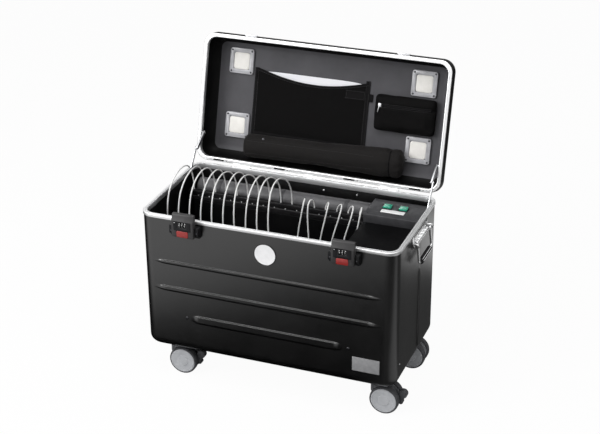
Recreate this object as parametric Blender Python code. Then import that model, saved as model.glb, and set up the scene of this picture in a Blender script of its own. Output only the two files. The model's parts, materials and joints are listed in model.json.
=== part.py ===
"""Laptop charging cart: a moulded tub on castors with a hinged lid, a slot rack and charging leads.

Metres, +Z up, the front faces -Y. The origin lies on the floor under the middle of the cart's
overall box with the lid open. Inside the model, y = 0 is the middle of the tub.
"""
import bmesh
import bpy
from math import acos, atan2, ceil, cos, hypot, pi, radians, sin
from mathutils import Matrix, Vector

# Clearances
GAP = 0.0003
RUNNING_GAP = 0.0005

# Tub: overall sizes across the rim frames, and the height from its underside to the rim
CASE_WIDTH = 0.660
CASE_DEPTH = 0.330
RIM_HEIGHT = 0.372
WALL = 0.004
CORNER_RADIUS = 0.030
BASE_EDGE_RADIUS = 0.026
CORNER_EASE = 0.6
CORNER_STEPS = 6
EDGE_STEPS = 5

# Aluminium frames on the tub and the lid
FRAME_LIP = 0.0015
FRAME_WIDTH = 0.009
FRAME_OUTSIDE = 0.0085
FRAME_INSIDE = 0.013
FRAME_TOP = 0.003
FRAME_CHAMFER = 0.0008
GROOVE_INSET = 0.0038
GROOVE_WIDTH = 0.0026
GROOVE_DEPTH = 0.0020
TONGUE_CLEARANCE = 0.0006
TONGUE_HEIGHT = 0.0012

# Lid and hinge
LID_DEPTH = 0.070
LID_EDGE_RADIUS = 0.036
LID_OPEN = radians(105)
LID_GAP = 0.0004
HINGE_PIN_RADIUS = 0.0022
HINGE_LEAF = 0.0016
HINGE_LEAF_HEIGHT = 0.008
HINGE_CLEAR = 0.0006
HINGE_WIDTH = 0.024
HINGE_PLACES = (-0.200, 0.0, 0.200)
HINGE_CURL = radians(290)
PIN_OVERHANG = 0.002

# Lid stays
STAY_BEHIND = 0.060
STAY_BELOW_RIM = 0.008
STAY_ON_LID = 0.074
STAY_LID_DEPTH = 0.006
STAY_SLACK = 0.0020
LOWER_SHARE = 0.565
LOWER_LINK_THICK = 0.0030
UPPER_LINK_THICK = 0.0040
LOWER_LINK_HALF = 0.0035
UPPER_LINK_HALF = 0.0050
STAY_BOSS_RADIUS = 0.0035

# Slot rack, placed from the tub's inner walls and its rim
SLOTS = 16
SLOT_PITCH = 0.0301
DIVIDER = 0.0025
DIVIDER_BELOW_RIM = 0.132
RACK_SIDE_MARGIN = 0.0085
RACK_FRONT_MARGIN = 0.0215
RACK_PLATE = 0.005
RACK_FOOT_HEIGHT = 0.012
RACK_FOOT_WIDTH = 0.030
RACK_FOOT_INSET = 0.066

# Charger housing, duct and charging strip behind the slots, placed from the tub's back wall
CHARGER_DEPTH = 0.0697
CHARGER_BACK_MARGIN = 0.0095
CHARGER_FOOT_MARGIN = 0.0305
CHARGER_SIDE_MARGIN = 0.0265
CHARGER_BELOW_RIM = 0.072
CHARGER_SLOPE = 0.025
DUCT_MARGIN = 0.0570
DUCT_RADIUS = 0.0235
DUCT_HEIGHT = 0.0447
STRIP_MARGIN = 0.0605
STRIP_DEPTH = 0.0160
STRIP_HEIGHT = 0.0257
STRIP_OVERHANG = 0.0028

# Right-hand bay
BAY_GAP = 0.0036
BAY_MARGIN = 0.0100
BAY_BELOW_RIM = 0.047
BAY_COVER = 0.0032
MAINS_MARGIN = 0.0305
MAINS_SIDE_MARGIN = 0.0265
PANEL_DEPTH = 0.094
PANEL_HEIGHT = 0.0247
ROCKER_OFFSETS = (0.0455, 0.0865)
ROCKER_FROM_BACK = 0.038
ROCKER_WIDTH = 0.0206
ROCKER_RADIUS = 0.0088
ROCKER_PROUD = 0.0050

# Power inlet on the back
INLET_X = 0.200
INLET_Z = 0.100
INLET_WIDTH = 0.048
INLET_HEIGHT = 0.034
INLET_ROUND = 0.005
INLET_OUT = 0.016
SOCKET_WIDTH = 0.026
SOCKET_HEIGHT = 0.018
SOCKET_DEPTH = 0.012

# Charging leads: each point is a share of the lead's sideways lean, then how far it lies behind
# the strip's middle and above the rim
LEAD_DIAMETER = 0.0036
LEAD_STEP = 0.018
PLUG_SWELL = 2.3
PLUG_LENGTH = 0.020
PLUG_CLEAR = 0.0005
ARCH_COUNT = 10
ARCH_ROUTE = (
    (0.000, 0.000, -0.054), (0.000, 0.000, -0.032), (0.000, -0.007, 0.000), (0.300, -0.027, 0.030),
    (0.800, -0.057, 0.047), (1.000, -0.089, 0.050), (0.800, -0.122, 0.039), (0.400, -0.146, 0.014),
    (0.150, -0.157, -0.020), (0.000, -0.159, -0.057), (0.000, -0.159, -0.092), (0.000, -0.158, -0.136),
)
ARCH_LEAN = (0.004, 0.006, 0.002, 0.004, -0.004, 0.000, -0.008, 0.002, -0.006, -0.008)
ARCH_RISE = (-0.004, 0.000, -0.001, 0.000, -0.003, 0.002, -0.002, 0.003, 0.001, 0.004)
LOOP_ROUTE = (
    (0.00, 0.000, -0.054), (0.00, 0.000, -0.040), (0.35, -0.003, -0.026), (0.80, -0.014, -0.018),
    (1.00, -0.027, -0.021), (0.95, -0.035, -0.034), (0.70, -0.039, -0.057), (0.35, -0.041, -0.084),
    (0.05, -0.043, -0.110), (0.00, -0.044, -0.136),
)
LOOP_LEAN = (0.012, -0.005, 0.016, 0.021, 0.021, 0.012)

# Locks on the front: heights from the rim, downwards unless named above
LOCK_X = 0.203
LOCK_BASE_HALF = 0.038
LOCK_BASE_BOTTOM = 0.041
LOCK_BASE_TOP = 0.012
LOCK_BASE_THICK = 0.009
LOCK_EAR_OUT = 0.018
LOCK_EAR_BOTTOM = 0.033
FLAP_HALF = 0.028
FLAP_BOTTOM = 0.038
FLAP_ABOVE = 0.0215
FLAP_LEAN = 0.006
FLAP_LEAN_ABOVE = 0.005
FLAP_THICK = 0.0165
FLAP_ROUND = 0.003
FLAP_PIVOT = 0.003
DIAL_RADIUS = 0.0070
DIAL_WIDTH = 0.0056
DIAL_PITCH = 0.0070
DIAL_SIDES = 10
DIAL_BELOW = 0.005
DIAL_PROUD = 0.0006
DIAL_PIN_RADIUS = 0.0015
BUTTON_HALF = 0.0150
BUTTON_TOP = 0.0205
BUTTON_THICK = 0.0085
BUTTON_TRAVEL = 0.003
BUTTON_PROUD = 0.0010
BUTTON_RECESS = 0.0016
KEEPER_HALF = 0.016
KEEPER_LOW = 0.0012
KEEPER_HEIGHT = 0.0068
KEEPER_OUT = 0.005

# Drop handles on both ends, a little behind the middle: heights below the rim
HANDLE_Y = 0.010
HANDLE_HALF = 0.061
HANDLE_BOTTOM = 0.044
HANDLE_TOP = 0.0105
HANDLE_ROUND = 0.006
HANDLE_PLATE = 0.0020
HANDLE_PIVOT_OUT = 0.0110
HANDLE_PIVOT_BELOW = 0.032
HANDLE_EAR = 0.0065
HANDLE_EAR_RADIUS = 0.0065
BAIL_HALF = 0.0515
BAIL_DROP = 0.050
BAIL_LEAN = radians(6)
BAIL_RADIUS = 0.0030
BAIL_BEND = 0.010
GRIP_HALF = 0.039
GRIP_RADIUS = 0.0070

# Badge and label plate on the front
BADGE_BELOW_RIM = 0.059
BADGE_RADIUS = 0.0285
BADGE_THICK = 0.0020
LABEL_FROM_SIDE = 0.073
LABEL_Z = 0.060
LABEL_WIDTH = 0.069
LABEL_HEIGHT = 0.038
LABEL_THICK = 0.0010

# Castors: stems placed in from the tub's outer walls
CASTOR_HEIGHT = 0.088
CASTOR_SIDE_MARGIN = 0.0595
CASTOR_FRONT_MARGIN = 0.0565
CASTOR_REAR_MARGIN = 0.0485
CASTOR_TRAIL = 0.0225
WHEEL_RADIUS = 0.0375
WHEEL_SIDES = 20
WHEEL_OUTER = 0.027
WHEEL_INNER = 0.0085
WHEEL_BEVEL = 0.002
AXLE_RADIUS = 0.004
HOOD_HALF = 0.0075
HOOD_RADIUS = 0.0415
HOOD_CUTBACK = 0.0280
HOOD_START = radians(78)
FENDER_HALF = 0.021
FENDER_END = radians(130)
FENDER_THICK = 0.0029
NECK_HALF = 0.016
NECK_DROP = 0.007
SWIVEL_RADIUS = 0.017
PEDAL_HALF = 0.0072
PEDAL_PIVOT = (0.033, 0.004)
PEDAL_HUB_RADIUS = 0.005
PEDAL_UPPER = (0.043, 0.016)
PEDAL_UPPER_RADIUS = 0.011
PEDAL_LOWER = (0.038, -0.007)
PEDAL_LOWER_RADIUS = 0.006

# Things carried in the lid: sideways from its middle or walls, along it from its hinge or far wall
CUP_SIZE = 0.066
CUP_ROUND = 0.006
CUP_THICK = 0.006
CUP_DISH = 0.044
CUP_DISH_DEPTH = 0.004
CUP_SIDE_MARGIN = 0.0775
CUP_NEAR = 0.0965
CUP_FAR_MARGIN = 0.0642
POCKET_X = -0.0510
POCKET_WIDTH = 0.314
POCKET_NEAR = 0.0980
POCKET_FAR = 0.2535
POCKET_THICK = 0.008
POUCH_X = 0.2070
POUCH_WIDTH = 0.160
POUCH_NEAR = 0.1345
POUCH_FAR = 0.2285
POUCH_THICK = 0.026
POUCH_ROUND = 0.010
ROLL_LENGTH = 0.426
ROLL_S = 0.0620
ROLL_HALF_WIDTH = 0.0355
ROLL_HALF_THICK = 0.0270
ROLL_SIDES = 16
ROLL_END = 0.012

# Places worked out from the sizes above
SHELL_X = CASE_WIDTH / 2 - FRAME_LIP
SHELL_Y = CASE_DEPTH / 2 - FRAME_LIP
INNER_X = SHELL_X - WALL
INNER_Y = SHELL_Y - WALL
BASE_Z = CASTOR_HEIGHT
RIM_Z = BASE_Z + RIM_HEIGHT
FLOOR_Z = BASE_Z + WALL
HINGE_OUT = HINGE_PIN_RADIUS + GAP + HINGE_LEAF + HINGE_CLEAR
HINGE_Y = CASE_DEPTH / 2 + HINGE_OUT
HINGE_Z = RIM_Z + LID_GAP / 2
LID_MOUTH = LID_GAP / 2
LID_FLOOR = LID_MOUTH + LID_DEPTH - WALL
FRAME_INNER_X = CASE_WIDTH / 2 - FRAME_WIDTH
FIRST_DIVIDER = -INNER_X + RACK_SIDE_MARGIN
RACK_RIGHT = FIRST_DIVIDER + SLOTS * SLOT_PITCH + DIVIDER / 2
CHARGER_BACK = INNER_Y - CHARGER_BACK_MARGIN
CHARGER_FRONT = CHARGER_BACK - CHARGER_DEPTH
CHARGER_LEFT = -INNER_X + CHARGER_SIDE_MARGIN
CHARGER_TOP_Z = RIM_Z - CHARGER_BELOW_RIM
STRIP_BACK = INNER_Y - STRIP_MARGIN
STRIP_MIDDLE = STRIP_BACK - STRIP_DEPTH / 2
PLUG_LEAN = SLOT_PITCH / 2 - DIVIDER / 2 - PLUG_SWELL * LEAD_DIAMETER / 2 - PLUG_CLEAR
BAY_LEFT = RACK_RIGHT + BAY_GAP
BAY_RIGHT = INNER_X - BAY_MARGIN
BAY_TOP_Z = RIM_Z - BAY_BELOW_RIM
PANEL_BACK = INNER_Y - CHARGER_BACK_MARGIN
PANEL_FRONT = PANEL_BACK - PANEL_DEPTH
FLAP_BACK = -(SHELL_Y + GAP + LOCK_BASE_THICK + RUNNING_GAP)
FLAP_FRONT = FLAP_BACK - FLAP_THICK
AXLE_Z = WHEEL_RADIUS * cos(pi / WHEEL_SIDES)
NECK_TOP = CASTOR_HEIGHT - NECK_DROP

FINISHES = {
    "black_plastic": ((0.018, 0.018, 0.020), 0.45, 0.0),
    "dark_plastic": ((0.045, 0.045, 0.050), 0.50, 0.0),
    "aluminium": ((0.80, 0.81, 0.82), 0.35, 1.0),
    "steel": ((0.62, 0.63, 0.65), 0.30, 1.0),
    "chrome": ((0.85, 0.86, 0.88), 0.12, 1.0),
    "white_plastic": ((0.85, 0.85, 0.84), 0.40, 0.0),
    "grey_plastic": ((0.42, 0.43, 0.45), 0.45, 0.0),
    "hood_plastic": ((0.050, 0.052, 0.060), 0.40, 0.0),
    "green_plastic": ((0.02, 0.36, 0.22), 0.35, 0.0),
    "red_plastic": ((0.62, 0.035, 0.025), 0.35, 0.0),
    "cream_plastic": ((0.74, 0.70, 0.60), 0.50, 0.0),
    "black_nylon": ((0.014, 0.014, 0.016), 0.85, 0.0),
    "black_rubber": ((0.020, 0.020, 0.022), 0.70, 0.0),
}


def arc(centre, radius, start, end, steps):
    """Points of a circular arc in a plane, angles in radians."""
    turn = (end - start) / steps
    angles = [start + turn * i for i in range(steps + 1)]
    return [(centre[0] + radius * cos(a), centre[1] + radius * sin(a)) for a in angles]


def box_outline(low, high):
    return [(low[0], low[1]), (high[0], low[1]), (high[0], high[1]), (low[0], high[1])]


def rounded_outline(low, high, radius, steps):
    """A rectangle with round corners, as points in a plane."""
    points = []
    corners = ((high, high), (low, high), (low, low), (high, low))
    for i, (x_from, y_from) in enumerate(corners):
        cx = x_from[0] + (-radius if x_from is high else radius)
        cy = y_from[1] + (-radius if y_from is high else radius)
        points += arc((cx, cy), radius, pi / 2 * i, pi / 2 * (i + 1), steps)
    return points


def capsule(length, radius, steps=5):
    """A bar with round ends, from the first pivot at the origin along +Y."""
    return (arc((0, 0), radius, pi / 2, 3 * pi / 2, steps)
            + arc((length, 0), radius, -pi / 2, pi / 2, steps))


def prism(outline, axis, low, high):
    """A closed solid: an outline in the plane across an axis, drawn out from low to high."""
    place = {
        "X": lambda u, v, w: (w, u, v),
        "Y": lambda u, v, w: (u, w, v),
        "Z": lambda u, v, w: (u, v, w),
    }[axis]
    bm = bmesh.new()
    near = [bm.verts.new(place(u, v, low)) for u, v in outline]
    far = [bm.verts.new(place(u, v, high)) for u, v in outline]
    bm.faces.new(near)
    bm.faces.new(far)
    for i in range(len(outline)):
        j = (i + 1) % len(outline)
        bm.faces.new((near[i], near[j], far[j], far[i]))
    bmesh.ops.recalc_face_normals(bm, faces=bm.faces)
    return bm


def block(low, high):
    return prism(box_outline(low[:2], high[:2]), "Z", low[2], high[2])


def skin(rings, closed=False):
    """A closed solid through rings of points, capped at both ends or closed on itself."""
    bm = bmesh.new()
    loops = [[bm.verts.new(p) for p in ring] for ring in rings]
    count = len(loops[0])
    pairs = list(zip(loops, loops[1:]))
    if closed:
        pairs.append((loops[-1], loops[0]))
    for a, b in pairs:
        for i in range(count):
            j = (i + 1) % count
            bm.faces.new((a[i], a[j], b[j], b[i]))
    if not closed:
        bm.faces.new(loops[0])
        bm.faces.new(loops[-1])
    bmesh.ops.recalc_face_normals(bm, faces=bm.faces)
    return bm


def turned(profile, sides, axis="Y", offset=0.5):
    """Rings of a solid turned about an axis through the origin, from (radius, along) points."""
    rings = []
    for radius, along in profile:
        ring = []
        for i in range(sides):
            a = 2 * pi * (i + offset) / sides
            u, v = radius * cos(a), radius * sin(a)
            ring.append({"X": (along, u, v), "Y": (u, along, v), "Z": (u, v, along)}[axis])
        rings.append(ring)
    return rings


def case_ring(inset, z):
    """One ring round the case, set in from the shell's outer face."""
    half_x = SHELL_X - inset
    half_y = SHELL_Y - inset
    radius = CORNER_RADIUS - CORNER_EASE * inset
    outline = rounded_outline((-half_x, -half_y), (half_x, half_y), radius, CORNER_STEPS)
    return [(x, y, z) for x, y in outline]


def edge_steps(edge_radius):
    """Inset and height of each step up a rounded edge, from the flat to the wall."""
    turns = [pi / 2 * i / EDGE_STEPS for i in range(EDGE_STEPS + 1)]
    return [(edge_radius * (1 - sin(a)), edge_radius * (1 - cos(a))) for a in turns]


def tub_rings(depth, edge_radius):
    """Rings of an open tub: outside up from its floor, over the mouth and down the inside."""
    outside = [(inset, z) for inset, z in edge_steps(edge_radius)]
    inside = [(WALL + inset, WALL + z) for inset, z in edge_steps(edge_radius - WALL)]
    return outside + [(0.0, depth), (WALL, depth)] + inside[::-1]


def frame_profile(ridge_width, ridge_height):
    """Section of a rim frame as (inset, height) points, its contact face at height 0."""
    inner = FRAME_WIDTH - FRAME_LIP
    ridge = (GROOVE_INSET + (GROOVE_WIDTH - ridge_width) / 2,
             GROOVE_INSET + (GROOVE_WIDTH + ridge_width) / 2)
    return [
        (-FRAME_LIP, -FRAME_OUTSIDE), (-FRAME_LIP, -FRAME_CHAMFER), (-FRAME_LIP + FRAME_CHAMFER, 0.0),
        (ridge[0], 0.0), (ridge[0], ridge_height), (ridge[1], ridge_height), (ridge[1], 0.0),
        (inner, 0.0), (inner, -FRAME_INSIDE), (WALL + GAP, -FRAME_INSIDE), (WALL + GAP, -FRAME_TOP),
        (-GAP, -FRAME_TOP), (-GAP, -FRAME_OUTSIDE),
    ]


def curl_outline(up):
    """A hinge leaf with its end curled round the pin, in the plane across the pin."""
    inner = HINGE_PIN_RADIUS + GAP
    outer = inner + HINGE_LEAF
    start, end = pi, pi - HINGE_CURL
    steps = 9
    leaf = [(-HINGE_OUT - GAP, 0.0), (-HINGE_OUT - GAP, -HINGE_LEAF_HEIGHT), (-inner, -HINGE_LEAF_HEIGHT)]
    points = leaf + arc((0, 0), inner, start, end, steps) + arc((0, 0), outer, end, start, steps)
    return [(y, z * up) for y, z in points]


def smooth_route(points, spacing):
    """Points about one spacing apart on a smooth curve through a route's own points."""
    route = [Vector(p) for p in points]
    route = [2 * route[0] - route[1]] + route + [2 * route[-1] - route[-2]]
    samples = []
    for a, b, c, d in zip(route, route[1:], route[2:], route[3:]):
        steps = max(1, ceil((c - b).length / spacing))
        for i in range(steps):
            t = i / steps
            samples.append(0.5 * (2 * b + (c - a) * t + (2 * a - 5 * b + 4 * c - d) * t ** 2
                                  + (3 * b - a - 3 * c + d) * t ** 3))
    return samples + [route[-2]]


def finish_material(name, finish):
    colour, roughness, metallic = FINISHES[finish]
    material = bpy.data.materials.new(name)
    material.use_nodes = True
    shader = material.node_tree.nodes["Principled BSDF"]
    shader.inputs["Base Color"].default_value = (*colour, 1.0)
    shader.inputs["Roughness"].default_value = roughness
    shader.inputs["Metallic"].default_value = metallic
    return material


def link(name, data, parent, location, angle):
    obj = bpy.data.objects.new(name, data)
    bpy.context.collection.objects.link(obj)
    obj.parent = parent
    obj.location = location
    obj.rotation_euler = (angle, 0.0, 0.0)
    return obj


def mesh_from(bm, name):
    mesh = bpy.data.meshes.new(name)
    bm.to_mesh(mesh)
    bm.free()
    mesh.shade_smooth()
    mesh.set_sharp_from_angle(angle=radians(35))
    return mesh


def piece(name, bm, finish, parent, location=(0, 0, 0), angle=0.0):
    """A sub-part with its own material."""
    mesh = mesh_from(bm, name)
    mesh.materials.append(finish_material(name, finish))
    return link(name, mesh, parent, location, angle)


def helper(name, bm, parent, location=(0, 0, 0), angle=0.0):
    """A shape that only cuts or adds to a sub-part."""
    obj = link(name, mesh_from(bm, name), parent, location, angle)
    obj.hide_render = True
    obj.display_type = "WIRE"
    return obj


def boolean(obj, other, operation):
    modifier = obj.modifiers.new(operation.lower(), "BOOLEAN")
    modifier.operation = operation
    modifier.solver = "EXACT"
    modifier.object = other


def empty(name, parent, location, angle=0.0):
    return link(name, None, parent, location, angle)


def rear_reach():
    """How far the open lid's rounded far edge lies behind the middle of the tub."""
    far = HINGE_Y + SHELL_Y
    reach = []
    for inset, height in edge_steps(LID_EDGE_RADIUS):
        along = far - inset
        depth = LID_MOUTH + LID_DEPTH - height
        reach.append(HINGE_Y - along * cos(LID_OPEN) + depth * sin(LID_OPEN))
    return max(reach)


def front_reach():
    """How far the release buttons stand in front of the middle of the tub."""
    return -FLAP_FRONT + BUTTON_PROUD


def make_tub(cart):
    rings = [case_ring(inset, BASE_Z + z) for inset, z in
             tub_rings(RIM_HEIGHT - FRAME_TOP - GAP, BASE_EDGE_RADIUS)]
    piece("body_shell", skin(rings), "black_plastic", cart)
    profile = frame_profile(GROOVE_WIDTH, -GROOVE_DEPTH)
    frame = piece("body_frame", skin([case_ring(t, RIM_Z + z) for t, z in profile], closed=True),
                  "aluminium", cart)
    add_curls(frame, cart, (0, HINGE_Y, HINGE_Z), 1, HINGE_WIDTH / 2 + RUNNING_GAP / 2)
    length = HINGE_PLACES[-1] + HINGE_WIDTH + RUNNING_GAP + PIN_OVERHANG
    pin = skin(turned([(HINGE_PIN_RADIUS, -length), (HINGE_PIN_RADIUS, length)], 10, "X"))
    piece("hinge_pin", pin, "steel", cart, (0, HINGE_Y, HINGE_Z))


def add_curls(frame, parent, place, up, offset):
    """Hinge leaves curled round the pin, joined to a frame."""
    for i, x in enumerate(HINGE_PLACES):
        middle = x + up * offset
        curl = prism(curl_outline(up), "X", middle - HINGE_WIDTH / 2, middle + HINGE_WIDTH / 2)
        boolean(frame, helper(f"{frame.name}_curl_{i}", curl, parent, place), "UNION")


def make_rack(cart):
    plate_low = FLOOR_Z + RACK_FOOT_HEIGHT
    plate_high = plate_low + RACK_PLATE
    top = RIM_Z - DIVIDER_BELOW_RIM
    foot = FLOOR_Z + GAP
    left = FIRST_DIVIDER - DIVIDER / 2
    outline = [(left, plate_low)]
    for x in (left + RACK_FOOT_INSET, RACK_RIGHT - RACK_FOOT_INSET):
        outline += [(x - RACK_FOOT_WIDTH / 2, plate_low), (x - RACK_FOOT_WIDTH / 2, foot),
                    (x + RACK_FOOT_WIDTH / 2, foot), (x + RACK_FOOT_WIDTH / 2, plate_low)]
    outline.append((RACK_RIGHT, plate_low))
    for i in reversed(range(SLOTS + 1)):
        x = FIRST_DIVIDER + i * SLOT_PITCH
        if i < SLOTS:
            outline.append((x + DIVIDER / 2, plate_high))
        outline += [(x + DIVIDER / 2, top), (x - DIVIDER / 2, top)]
        if i > 0:
            outline.append((x - DIVIDER / 2, plate_high))
    rack = prism(outline, "Y", -INNER_Y + RACK_FRONT_MARGIN, CHARGER_FRONT - GAP)
    piece("slot_rack", rack, "black_plastic", cart)


def make_charger(cart):
    low = FLOOR_Z + GAP
    outline = [(CHARGER_FRONT, low), (INNER_Y - CHARGER_FOOT_MARGIN, low),
               (CHARGER_BACK, low + CHARGER_SLOPE), (CHARGER_BACK, CHARGER_TOP_Z),
               (CHARGER_FRONT, CHARGER_TOP_Z)]
    piece("charger_housing", prism(outline, "X", CHARGER_LEFT, RACK_RIGHT), "black_plastic", cart)
    seat = CHARGER_TOP_Z + GAP
    front = INNER_Y - DUCT_MARGIN
    shoulder = seat + DUCT_HEIGHT - DUCT_RADIUS
    duct = [(front, seat), (front + 2 * DUCT_RADIUS, seat)]
    duct += arc((front + DUCT_RADIUS, shoulder), DUCT_RADIUS, 0, pi, 8)
    piece("cable_duct", prism(duct, "X", CHARGER_LEFT, RACK_RIGHT), "dark_plastic", cart)


def lead_routes():
    """Each lead's route: ten high arches, then six loops that hang from the strip."""
    routes = []
    for i in range(SLOTS):
        x = FIRST_DIVIDER + (i + 0.5) * SLOT_PITCH
        arch = i < ARCH_COUNT
        lean = ARCH_LEAN[i] if arch else LOOP_LEAN[i - ARCH_COUNT]
        rise = ARCH_RISE[i] if arch else 0.0
        route = []
        for share, behind, above in (ARCH_ROUTE if arch else LOOP_ROUTE):
            route.append((x + share * lean, STRIP_MIDDLE + behind, RIM_Z + above + share * rise))
        _, y, z = route[-1]
        route[-1] = (x - PLUG_LEAN, y, z)
        routes.append(route)
    return routes


def lead_tube(index, route):
    """One lead as a curve, its plug a thicker stretch at the end."""
    curve = bpy.data.curves.new(f"lead_{index}", "CURVE")
    curve.dimensions = "3D"
    curve.bevel_depth = LEAD_DIAMETER / 2
    curve.bevel_resolution = 2
    curve.use_fill_caps = True
    points = smooth_route(route, LEAD_STEP)
    end = points[-1]
    neck = end + (points[-2] - end).normalized() * PLUG_LENGTH
    points = [p for p in points if (p - end).length > PLUG_LENGTH * 1.15]
    plug = [(neck, 1.0), (neck.lerp(end, 0.12), PLUG_SWELL), (end, PLUG_SWELL)]
    knots = [(p, 1.0) for p in points] + plug
    spline = curve.splines.new("POLY")
    spline.points.add(len(knots) - 1)
    for knot, (place, radius) in zip(spline.points, knots):
        knot.co = (*place, 1.0)
        knot.radius = radius
    return curve


def make_leads(cart):
    low = CHARGER_TOP_Z + GAP
    strip = block((FIRST_DIVIDER + STRIP_OVERHANG, STRIP_BACK - STRIP_DEPTH, low),
                  (RACK_RIGHT - STRIP_OVERHANG, STRIP_BACK, low + STRIP_HEIGHT))
    leads = piece("charging_leads", strip, "white_plastic", cart)
    tubes = bmesh.new()
    for i, route in enumerate(lead_routes()):
        curve = link(f"lead_{i}", lead_tube(i, route), None, (0, 0, 0), 0.0)
        mesh = bpy.data.meshes.new_from_object(curve.evaluated_get(bpy.context.evaluated_depsgraph_get()))
        tubes.from_mesh(mesh)
        bpy.data.objects.remove(curve)
    bmesh.ops.remove_doubles(tubes, verts=tubes.verts, dist=1e-6)
    bmesh.ops.recalc_face_normals(tubes, faces=tubes.faces)
    boolean(leads, helper("lead_tubes", tubes, cart), "UNION")


def make_bay(cart):
    deep = INNER_Y - MAINS_MARGIN
    mains = block((BAY_LEFT, -deep, FLOOR_Z + GAP), (INNER_X - MAINS_SIDE_MARGIN, deep, BAY_TOP_Z))
    piece("mains_box", mains, "black_plastic", cart)
    seat = BAY_TOP_Z + GAP
    cover = block((BAY_LEFT, -PANEL_BACK, seat), (BAY_RIGHT, PANEL_FRONT - GAP, seat + BAY_COVER))
    piece("bay_cover", cover, "black_plastic", cart)
    panel_top = seat + PANEL_HEIGHT
    panel = piece("control_panel", block((BAY_LEFT, PANEL_FRONT, seat), (BAY_RIGHT, PANEL_BACK, panel_top)),
                  "black_plastic", cart)
    y = PANEL_BACK - ROCKER_FROM_BACK
    half = ROCKER_WIDTH / 2
    well = ROCKER_RADIUS + GAP
    for i, offset in enumerate(ROCKER_OFFSETS):
        x = BAY_LEFT + offset
        cutter = block((x - half - GAP, y - well, panel_top - well),
                       (x + half + GAP, y + well, panel_top + well))
        boolean(panel, helper(f"rocker_well_{i}", cutter, cart), "DIFFERENCE")
        rocker = arc((0, 0), ROCKER_RADIUS, pi, 2 * pi, 8)
        rocker += [(ROCKER_RADIUS, ROCKER_PROUD), (0.0, ROCKER_PROUD * 0.6), (-ROCKER_RADIUS, ROCKER_PROUD)]
        piece(("rocker_left", "rocker_right")[i], prism(rocker, "X", -half, half), "green_plastic", cart,
              (x, y, panel_top))


def make_inlet(cart):
    place = (INLET_X, SHELL_Y + GAP, BASE_Z + INLET_Z)
    outline = rounded_outline((-INLET_WIDTH / 2, -INLET_HEIGHT / 2), (INLET_WIDTH / 2, INLET_HEIGHT / 2),
                              INLET_ROUND, 3)
    inlet = piece("power_inlet", prism(outline, "Y", 0.0, INLET_OUT), "black_plastic", cart, place)
    socket = block((-SOCKET_WIDTH / 2, INLET_OUT - SOCKET_DEPTH, -SOCKET_HEIGHT / 2),
                   (SOCKET_WIDTH / 2, 2 * INLET_OUT, SOCKET_HEIGHT / 2))
    boolean(inlet, helper("inlet_socket", socket, cart, place), "DIFFERENCE")


def make_front_plates(cart):
    face = -(SHELL_Y + GAP)
    badge = skin(turned([(BADGE_RADIUS, 0.0), (BADGE_RADIUS * 0.97, -BADGE_THICK)], 32))
    piece("front_badge", badge, "aluminium", cart, (0, face, RIM_Z - BADGE_BELOW_RIM))
    label = block((-LABEL_WIDTH / 2, -LABEL_THICK, -LABEL_HEIGHT / 2),
                  (LABEL_WIDTH / 2, 0.0, LABEL_HEIGHT / 2))
    piece("label_plate", label, "aluminium", cart, (SHELL_X - LABEL_FROM_SIDE, face, BASE_Z + LABEL_Z))


def flap_outline(pivot):
    """Side view of a lock flap, measured from its pivot."""
    low = RIM_Z - FLAP_BOTTOM - pivot[1]
    high = RIM_Z + FLAP_ABOVE - pivot[1]
    back = FLAP_BACK - pivot[0]
    front = FLAP_FRONT - pivot[0]
    r = FLAP_ROUND
    return (arc((0, 0), FLAP_PIVOT, 0, -pi / 2, 4)
            + arc((front + r, low + r), r, -pi / 2, -pi, 3)
            + [(front, RIM_Z + FLAP_LEAN_ABOVE - pivot[1])]
            + arc((front + FLAP_LEAN + 2 * r, high - 2 * r), 2 * r, pi, pi / 2, 4)
            + arc((back - r, high - r), r, pi / 2, 0, 3))


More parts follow.
